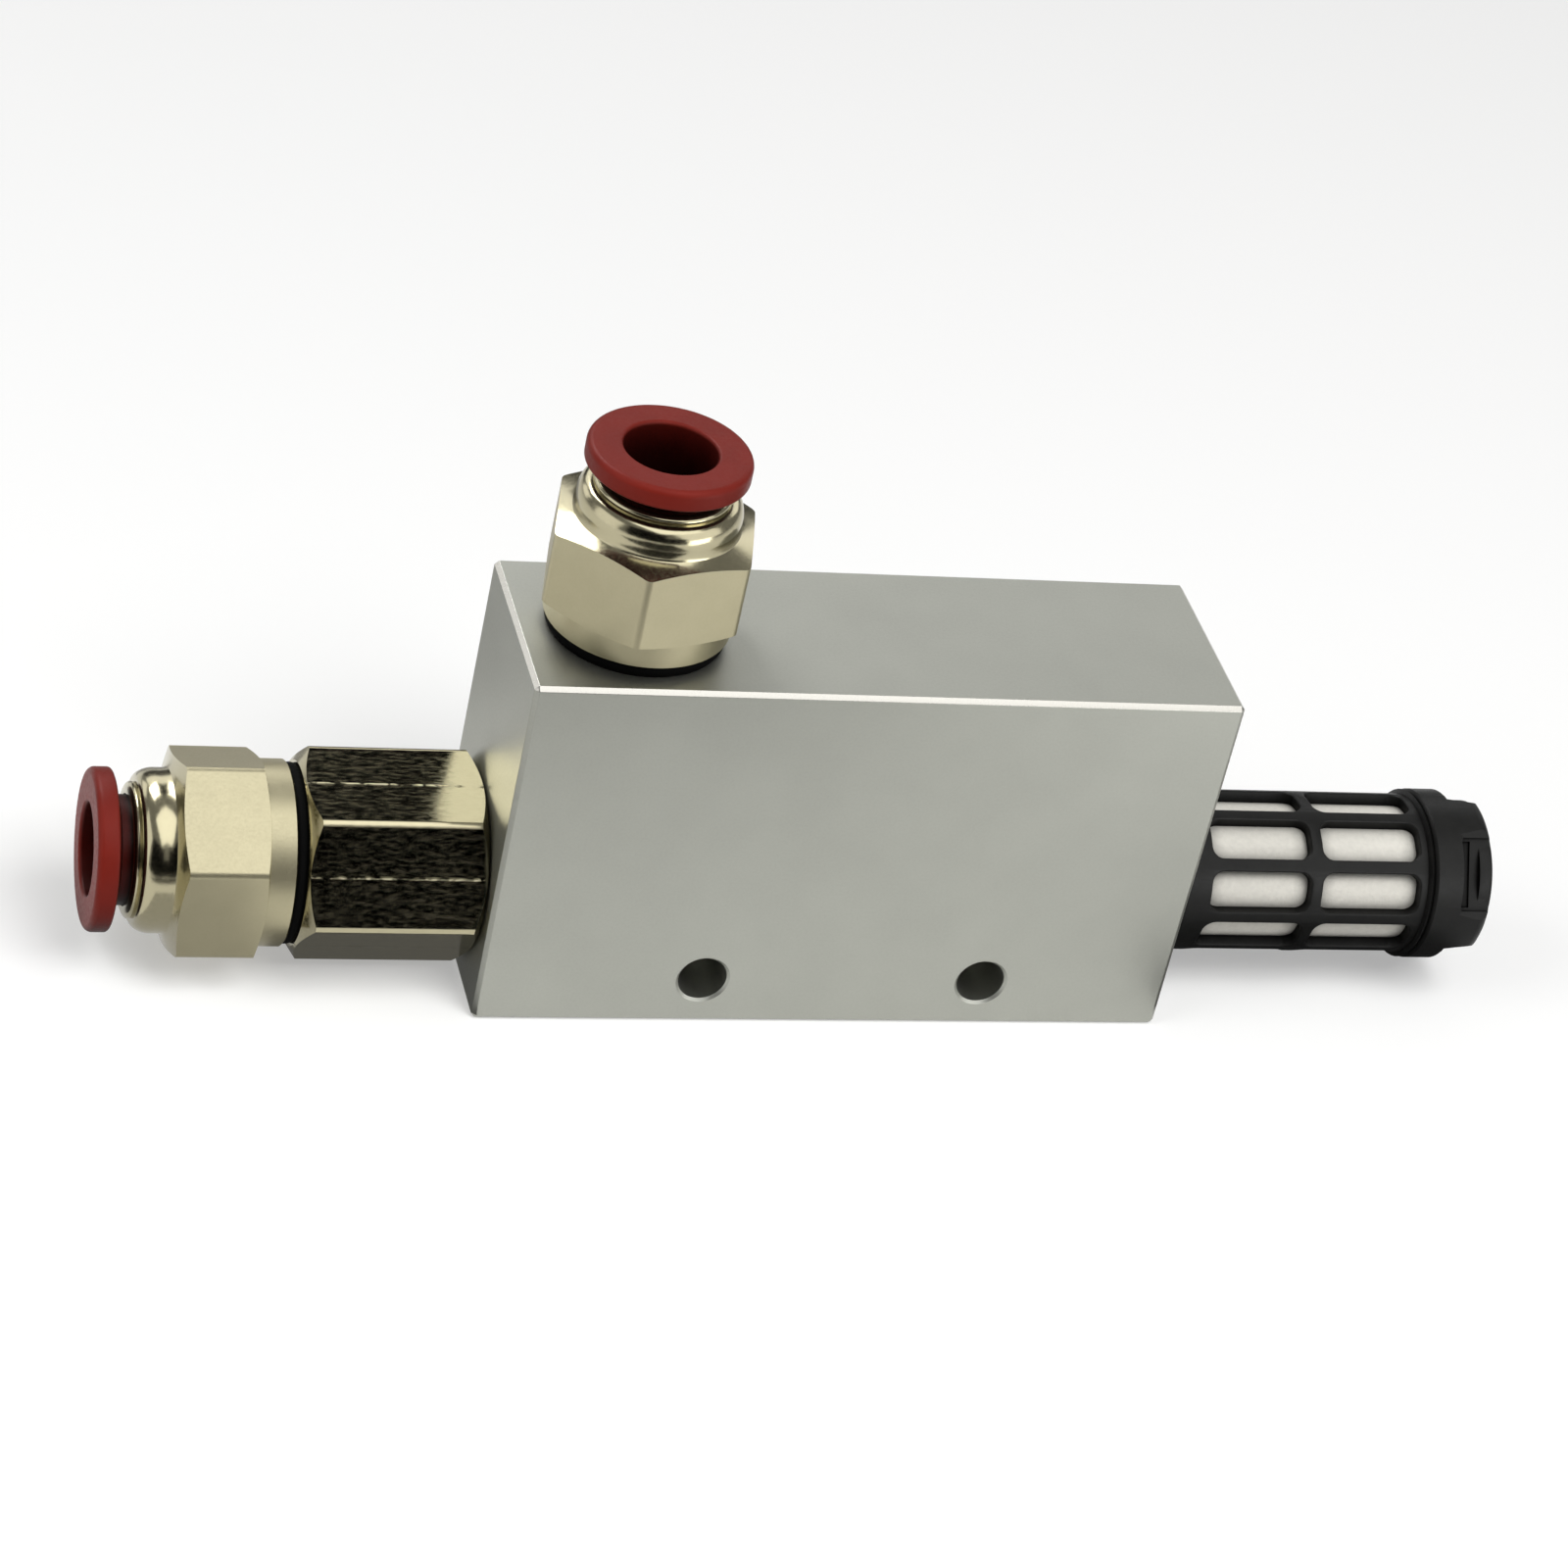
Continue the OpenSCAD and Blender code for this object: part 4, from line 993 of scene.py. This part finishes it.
class EJECTOR_OT_seals(bpy.types.Operator):
    """Model the three squeezed seal rings between the screwed pieces"""

    bl_idname = "ejector.seals"
    bl_label = "Port seals"

    def execute(self, context):
        fitting, holder = context.scene.ejector_fitting, context.scene.ejector_holder
        port = (fitting.port_seal_radius, fitting.port_seal_section)
        rubber = finish_for(context, "nitrile_rubber")
        self.ring("supply_port_seal", rubber, *port, fitting_place("supply"), -1)
        self.ring("vacuum_port_seal", rubber, *port, fitting_place("vacuum"), -1)
        self.ring("holder_seal", rubber, holder.seal_radius, holder.seal_section, supply_port_place(), 1)
        return {"FINISHED"}

    def ring(self, node, rubber, radius, section, place, side):
        """A round section squeezed flat between z = 0 and the shoulder on the given side of it."""
        gap = seal_gap(node)
        cut = math.degrees(math.asin(gap / 2 / section))
        middle = (radius - section, side * gap / 2)
        outline = arc(*middle, section, -cut, cut) + arc(*middle, section, 180 - cut, 180 + cut)
        finish(turned(node, outline), node, body_of(node), rubber, place)


class EJECTOR_OT_guides(bpy.types.Operator):
    """Model the guide rings pressed into the fittings' mouths"""

    bl_idname = "ejector.guides"
    bl_label = "Guide rings"

    def execute(self, context):
        sizes, fitting = context.scene.ejector_release, context.scene.ejector_fitting
        mouth = fitting.hex_top + fitting.neck_height + fitting.crease + fitting.dome_height
        top = mouth + sizes.lip_height
        lip_step, lip_edge, lip_flat = 0.1 * MM, 0.25 * MM, 0.2 * MM
        outline = [
            (sizes.guide_recess, sizes.guide_foot), (fitting.guide_radius, sizes.guide_foot),
            (fitting.guide_radius, mouth), (sizes.lip_radius - lip_step, mouth),
            *quarter_oval(sizes.guide_bore + lip_flat, sizes.lip_radius, mouth + lip_edge, top, 8),
            (sizes.guide_bore, top), (sizes.guide_bore, sizes.guide_shoulder),
            (sizes.guide_recess, sizes.guide_shoulder),
        ]
        for line in LINES:
            node = line + "_guide_ring"
            ring = turned(node, outline)
            finish(ring, node, body_of(node), finish_for(context, "turned_nickel"), fitting_place(line))
        return {"FINISHED"}


class EJECTOR_OT_releases(bpy.types.Operator):
    """Model the red release rings with their slotted stems"""

    bl_idname = "ejector.releases"
    bl_label = "Release rings"

    def execute(self, context):
        sizes = context.scene.ejector_release
        for line in LINES:
            node = line + "_release_ring"
            ring = turned(node, self.outline(sizes))
            long = 2 * sizes.bead_radius + 2 * OVERSHOOT
            tall = sizes.slot_end - sizes.nose + OVERSHOOT
            middle = (0, 0, sizes.slot_end - tall / 2)
            for turn in (45, -45):
                across = Matrix.Rotation(math.radians(turn), 4, "Z")
                slot = box("slot_cutter", (long, sizes.slot_width, tall), middle, across)
                combine(ring, slot, "DIFFERENCE")
            finish(ring, node, body_of(node), finish_for(context, "red_acetal"), fitting_place(line))
        return {"FINISHED"}

    def outline(self, sizes):
        """From the bore at the tip of the nose out over the bead and the flange, and back to the bore."""
        tip, bead_lead, under = 0.03 * MM, 0.2 * MM, 0.3 * MM
        rounding, mouth = sizes.rounding, sizes.mouth_rounding
        bead_end = sizes.bead_start + sizes.bead_height
        return [
            (sizes.bore, sizes.nose), (sizes.bore + tip, sizes.nose),
            (sizes.stem, sizes.nose + sizes.nose_height), (sizes.stem, sizes.bead_start),
            (sizes.bead_radius, sizes.bead_start + bead_lead), (sizes.bead_radius, bead_end),
            (sizes.stem, bead_end), (sizes.stem, sizes.flange_under - sizes.flange_taper),
            *arc(sizes.flange_radius - under, sizes.flange_under + under, under, -75, 0, 5),
            *arc(sizes.flange_radius - rounding, sizes.face - rounding, rounding, 0, 90, 9),
            *arc(sizes.bore + mouth, sizes.face - mouth, mouth, 90, 180, 6),
        ]


class EJECTOR_OT_cage(bpy.types.Operator):
    """Model the silencer's cage: one cell is cut, repeated and rolled up"""

    bl_idname = "ejector.cage"
    bl_label = "Silencer cage"

    columns: bpy.props.IntProperty(
        name="Columns", description="Columns of faces across one cell", default=14, min=4
    )

    def execute(self, context):
        sizes = context.scene.ejector_silencer
        cage = self.cell(sizes)
        self.roll(cage, sizes)
        self.raise_rim(cage, sizes)
        self.add_thread(cage, sizes, context.scene.ejector_fitting)
        cage.data.transform(Matrix.Rotation(sizes.rib_turn, 4, "Z"))
        nylon = finish_for(context, "black_nylon")
        finish(cage, "silencer_cage", body_of("silencer_cage"), nylon, exhaust_port_place())
        return {"FINISHED"}

    def cell(self, sizes):
        """One cell lies flat: X runs round the cage, Y inwards from the outer face, and Z along it."""
        pitch = 2 * math.pi * sizes.cage_radius / sizes.rib_count
        wall = sizes.cage_radius - sizes.cage_bore
        tall = sizes.cage_length - sizes.floor
        cell = box("silencer_cage", (pitch, wall, tall), (0, wall / 2, sizes.floor + tall / 2))
        wide = pitch - sizes.rib_width
        for start in sizes.window_starts:
            middle = start + sizes.window_length / 2
            window = box("window_cutter", (wide, wall * 3, sizes.window_length), (0, wall / 2, middle))
            pick(window, "EDGE", lambda a, b: abs(a.y - b.y) > wall)
            bpy.ops.mesh.bevel(offset=sizes.window_corner, segments=6, affect="EDGES")
            end_edit()
            combine(cell, window, "DIFFERENCE")
        return cell

    def roll(self, cell, sizes):
        """Softens the window rims, cuts the cell into columns, repeats it and bends it round."""
        pitch = 2 * math.pi * sizes.cage_radius / sizes.rib_count
        low, high, half = sizes.floor + TINY, sizes.cage_length - TINY, pitch / 2 - TINY

        def on_rim(a, b):
            return all(abs(c.y) < TINY and abs(c.x) < half and low < c.z < high for c in (a, b))

        pick(cell, "EDGE", on_rim)
        bpy.ops.mesh.bevel(offset=sizes.window_rounding, segments=3, affect="EDGES")
        for i in range(1, self.columns):
            bpy.ops.mesh.select_all(action="SELECT")
            bpy.ops.mesh.bisect(plane_co=(pitch * (i / self.columns - 0.5), 0, 0), plane_no=(1, 0, 0))
        for height in self.rim_heights(sizes)[:-1]:
            bpy.ops.mesh.select_all(action="SELECT")
            bpy.ops.mesh.bisect(plane_co=(0, 0, height), plane_no=(0, 0, 1))
        end_edit()

        def open_end(face):
            side = abs(abs(face.center.x) - pitch / 2) < TINY and abs(face.normal.x) > 0.9
            return side or (abs(face.center.z - sizes.floor) < TINY and abs(face.normal.z) > 0.9)

        pick(cell, "FACE", open_end)
        bpy.ops.mesh.delete(type="FACE")
        end_edit()
        repeat = cell.modifiers.new("Repeat", "ARRAY")
        repeat.count = sizes.rib_count
        repeat.use_relative_offset = False
        repeat.use_constant_offset = True
        repeat.constant_offset_displace = (pitch, 0, 0)
        repeat.use_merge_vertices = True
        repeat.merge_threshold = TINY
        bpy.ops.object.modifier_apply(modifier=repeat.name)
        bend = cell.modifiers.new("Bend", "SIMPLE_DEFORM")
        bend.deform_method = "BEND"
        bend.deform_axis = "Z"
        bend.angle = 2 * math.pi
        bpy.ops.object.modifier_apply(modifier=bend.name)
        cell.data.transform(Matrix.Translation((0, -sizes.cage_radius, 0)))
        start_edit()
        bpy.ops.mesh.remove_doubles(threshold=2 * TINY)
        end_edit()

    def rim_heights(self, sizes):
        start = sizes.cage_length - sizes.rim_length
        return [start - sizes.rim_lead, start, sizes.cage_length - sizes.parting, sizes.cage_length]

    def raise_rim(self, cage, sizes):
        """Swells the cage's end into the rim that meets the cap."""
        middle = (sizes.cage_radius + sizes.cage_bore) / 2
        radii = [sizes.rim_radius, sizes.rim_radius, sizes.rim_radius - sizes.parting]
        for radius, height in zip(radii, self.rim_heights(sizes)[1:]):
            pick(cage, "VERT", lambda c: abs(c.z - height) < TINY and c.xy.length > middle)
            share = radius / sizes.cage_radius
            bpy.ops.transform.resize(value=(share, share, 1), center_override=(0, 0, height))
            end_edit()

    def add_thread(self, cage, sizes, common):
        """Draws the open outer end down into the foot, the undercut and the thread, and back up inside."""
        middle = (sizes.cage_radius + sizes.cage_bore) / 2

        def on_open_end(*ends):
            return all(abs(c.z - sizes.floor) < TINY and c.xy.length > middle for c in ends)

        pick(cage, "EDGE", on_open_end)
        thread = thread_start(common, 0, sizes.thread_length, sizes.thread_bore)[::-1]
        extrude_ring([
            (sizes.cage_radius, sizes.floor), (sizes.cage_radius, 0), (common.undercut_radius, 0), *thread,
            (sizes.thread_bore, sizes.floor), (sizes.cage_bore, sizes.floor),
        ])
        bpy.ops.mesh.select_all(action="SELECT")
        bpy.ops.mesh.remove_doubles(threshold=2 * TINY)
        bpy.ops.mesh.normals_make_consistent(inside=False)
        end_edit()


class EJECTOR_OT_element(bpy.types.Operator):
    """Model the porous element inside the cage"""

    bl_idname = "ejector.element"
    bl_label = "Porous element"

    def execute(self, context):
        sizes = context.scene.ejector_silencer
        end = sizes.cage_length - sizes.spigot
        outline = [
            (sizes.element_bore, sizes.floor), (sizes.element_radius, sizes.floor),
            (sizes.element_radius, end), (sizes.element_bore, end),
        ]
        element = soften(turned("silencer_element", outline), sizes.element_edge)
        porous = finish_for(context, "porous_polyethylene")
        finish(element, "silencer_element", body_of("silencer_element"), porous, exhaust_port_place())
        return {"FINISHED"}


class EJECTOR_OT_cap(bpy.types.Operator):
    """Model the silencer's cap with its grip flats and end disc"""

    bl_idname = "ejector.cap"
    bl_label = "Silencer cap"

    def execute(self, context):
        sizes = context.scene.ejector_silencer
        cap = self.shell(sizes)
        self.cut_grips(cap, sizes)
        combine(cap, self.core(sizes), "UNION")
        combine(cap, self.bore(sizes), "DIFFERENCE")
        soften(cap, sizes.cap_edge, sharp=35)
        nylon = finish_for(context, "black_nylon")
        finish(cap, "silencer_cap", body_of("silencer_cap"), nylon, exhaust_port_place())
        return {"FINISHED"}

    def shell(self, sizes):
        start, rounding = sizes.cage_length, sizes.cap_rounding
        end = start + sizes.cap_length
        radius, parting = sizes.cap_radius, sizes.parting
        wall = [(radius - parting, start), (radius, start + parting)]
        wall += arc(radius - rounding, end - rounding, rounding, 0, 90, 8)
        return turned("silencer_cap", wall, hollow=False)

    def cut_grips(self, cap, sizes):
        """Cuts four leaning flats, each with a shallow pocket and a groove at its foot."""
        radius, long = sizes.cap_radius, 2 * sizes.cap_length
        foot = sizes.cage_length + sizes.cap_rim
        lean = Matrix.Translation((sizes.flat_distance, 0, foot)) @ Matrix.Rotation(-sizes.flat_lean, 4, "Y")
        groove_out = sizes.flat_distance - sizes.groove_depth + radius / 2
        groove_size = (radius, sizes.groove_width, sizes.groove_length)
        for i in range(4):
            turn = Matrix.Rotation(sizes.flat_turn + (i + 1) * QUARTER, 4, "Z")
            flat = box("flat_cutter", (radius, 2 * radius, long), (radius / 2, 0, long / 2), turn @ lean)
            combine(cap, flat, "DIFFERENCE")
            pocket_place = (radius / 2 - sizes.pocket_depth, 0, long / 2 + sizes.pocket_gap)
            pocket = box("pocket_cutter", (radius, sizes.pocket_width, long), pocket_place, turn @ lean)
            combine(cap, pocket, "DIFFERENCE")
            groove_place = (groove_out, 0, foot + sizes.groove_length / 2)
            groove = box("groove_cutter", groove_size, groove_place, turn)
            combine(cap, groove, "DIFFERENCE")

    def hollow_ends(self, sizes):
        """The two ends of the hollow inside the cap, from its open end in the cage."""
        inner_end = sizes.cage_length - sizes.spigot
        return inner_end, inner_end + sizes.hollow_depth

    def core(self, sizes):
        """The spigot that fits in the cage and, beyond it, the stepped plug that ends in the disc."""
        inner_end, hollow_end = self.hollow_ends(sizes)
        top = sizes.cage_length + sizes.cap_length + sizes.disc_rise
        play, edge, step, thick = 0.02 * MM, 0.4 * MM, 0.6 * MM, 1.4 * MM
        spigot, plug = sizes.cage_bore - play, sizes.disc_radius - step
        return turned("cap_core", [
            (sizes.element_bore, hollow_end), (sizes.element_bore, inner_end), (spigot, inner_end),
            (spigot, hollow_end), (plug, hollow_end + step), (plug, top - thick),
            (sizes.disc_radius, top - thick), *arc(sizes.disc_radius - edge, top - edge, edge, 0, 90, 5),
        ], hollow=False)

    def bore(self, sizes):
        inner_end, hollow_end = self.hollow_ends(sizes)
        outline = [(sizes.element_bore, inner_end - OVERSHOOT), (sizes.element_bore, hollow_end)]
        return turned("cap_bore", outline, hollow=False)


class EJECTOR_OT_inner(bpy.types.Operator):
    """Finish the solids that stay as they are: nozzle, diffuser, their seals, tube seals and lock claws"""

    bl_idname = "ejector.inner"
    bl_label = "Inner pieces"

    def execute(self, context):
        for node, piece in frame["nodes"].items():
            if piece.hide_render:
                continue
            material = finish_for(context, slot_of(node))
            if not piece.material_slots:
                piece.data.materials.append(material)
            for slot in piece.material_slots:
                slot.material = material
        return {"FINISHED"}


class EJECTOR_OT_stage(bpy.types.Operator):
    """Set up the pale floor, the lamps, the cards and the camera"""

    bl_idname = "ejector.stage"
    bl_label = "Stage"

    def execute(self, context):
        stage = context.scene.ejector_stage
        context.scene.view_settings.view_transform = "Standard"
        self.floor(stage)
        self.room(context.scene, stage)
        self.lamp("key_lamp", KEY_PLACE, stage.key_power)
        self.lamp("side_lamp", SIDE_PLACE, stage.side_power)
        for name, card in CARDS.items():
            self.card(name, *card)
        # The floor flags: those under the pieces are painted shade on the floor, seen only in reflections
        for name, (middle, along_x, along_y, level) in FLOOR_FLAGS.items():
            self.card(name, middle, 0, -90, -FLAG_RISE, along_y, along_x, level)
        self.camera(context.scene, stage)
        return {"FINISHED"}

    def floor(self, stage):
        bpy.ops.object.select_all(action="DESELECT")
        bpy.ops.mesh.primitive_plane_add(size=FLOOR_WIDTH)
        floor = bpy.context.object
        floor.name = "studio_floor"
        material, tree = empty_material("studio_floor_paper")
        rays = add_node(tree, "ShaderNodeLightPath").outputs
        seen = math_node(tree, "MAXIMUM", rays["Is Camera Ray"], rays["Is Glossy Ray"])
        seen = math_node(tree, "MAXIMUM", seen, rays["Is Transmission Ray"])
        paper = add_node(tree, "ShaderNodeBsdfDiffuse", {"Color": stage.floor_colour}).outputs[0]
        glow = add_node(tree, "ShaderNodeEmission", {"Color": WHITE}, {"Strength": seen}).outputs[0]
        lift = add_node(tree, "ShaderNodeMixShader", {"Fac": stage.floor_glow}, {1: paper, 2: glow})
        add_node(tree, "ShaderNodeOutputMaterial", links={"Surface": lift.outputs[0]})
        floor.data.materials.append(material)

    def room(self, scene, stage):
        world = bpy.data.worlds.new("studio_room")
        world.use_nodes = True
        scene.world = world
        tree = world.node_tree
        tree.nodes.clear()
        room = add_node(tree, "ShaderNodeBackground", {"Color": WHITE, "Strength": stage.room_strength})
        add_node(tree, "ShaderNodeOutputWorld", links={"Surface": room.outputs[0]})

    def lamp(self, name, place, power):
        """A soft lamp that shows in no reflection: the cards are what the metals see."""
        bpy.ops.object.light_add(type="AREA", location=place)
        lamp = bpy.context.object
        lamp.name = name
        lamp.data.energy = power
        lamp.data.size = LAMP_WIDTH
        lamp.rotation_euler = (-lamp.location).to_track_quat("-Z", "Y").to_euler()
        lamp.visible_glossy = False

    def card(self, name, aim, azimuth, elevation, distance, width, height, level):
        """A white or black card that stands round the object and is seen only in its reflections."""
        bpy.ops.object.select_all(action="DESELECT")
        bpy.ops.mesh.primitive_plane_add(size=1)
        card = bpy.context.object
        card.name = name
        around = Matrix.Rotation(math.radians(azimuth), 4, "Z")
        up = Matrix.Rotation(math.radians(-elevation), 4, "Y")
        stand = Matrix.Translation((distance, 0, 0)) @ Matrix.Rotation(-QUARTER, 4, "Y")
        card.data.transform(Matrix.Diagonal((height, width, 1, 1)))
        card.data.transform(Matrix.Translation(aim) @ around @ up @ stand)
        material, tree = empty_material(name)
        glow = add_node(tree, "ShaderNodeEmission", {"Color": WHITE, "Strength": level})
        add_node(tree, "ShaderNodeOutputMaterial", links={"Surface": glow.outputs[0]})
        card.data.materials.append(material)
        card.visible_camera = False
        card.visible_diffuse = False
        card.visible_shadow = False

    def camera(self, scene, stage):
        bpy.ops.object.camera_add(location=stage.camera_place, rotation=stage.camera_turn)
        camera = bpy.context.object
        camera.data.lens = stage.lens
        camera.data.sensor_width = SENSOR_MM
        camera.data.clip_start = 0.01
        scene.camera = camera


STEPS = (
    EJECTOR_OT_block, EJECTOR_OT_holder, EJECTOR_OT_fittings, EJECTOR_OT_seals, EJECTOR_OT_guides,
    EJECTOR_OT_releases, EJECTOR_OT_cage, EJECTOR_OT_element, EJECTOR_OT_cap, EJECTOR_OT_inner,
    EJECTOR_OT_stage,
)
GROUPS = {
    "ejector_block": EjectorBlockSizes,
    "ejector_holder": EjectorHolderSizes,
    "ejector_fitting": EjectorFittingSizes,
    "ejector_release": EjectorReleaseSizes,
    "ejector_silencer": EjectorSilencerSizes,
    "ejector_colours": EjectorColours,
    "ejector_stage": EjectorStage,
}


class EJECTOR_PT_panel(bpy.types.Panel):
    """Lists the steps that model and finish the ejector"""

    bl_idname = "EJECTOR_PT_panel"
    bl_label = "Vacuum ejector"
    bl_space_type = "VIEW_3D"
    bl_region_type = "UI"
    bl_category = "Ejector"

    def draw(self, context):
        for step in STEPS:
            self.layout.operator(step.bl_idname)
        for name in GROUPS:
            group = getattr(context.scene, name)
            column = self.layout.column(heading=name.replace("_", " ").capitalize())
            for prop in group.bl_rna.properties:
                if prop.identifier not in {"rna_type", "name"}:
                    column.prop(group, prop.identifier)


def register():
    for name, group in GROUPS.items():
        bpy.utils.register_class(group)
        setattr(bpy.types.Scene, name, bpy.props.PointerProperty(type=group))
    for cls in (*STEPS, EJECTOR_PT_panel):
        bpy.utils.register_class(cls)


def unregister():
    for cls in (EJECTOR_PT_panel, *reversed(STEPS)):
        bpy.utils.unregister_class(cls)
    for name, group in GROUPS.items():
        delattr(bpy.types.Scene, name)
        bpy.utils.unregister_class(group)


def main():
    register()
    for step in STEPS:
        area, name = step.bl_idname.split(".")
        getattr(getattr(bpy.ops, area), name)()


if __name__ == "__main__":
    main()
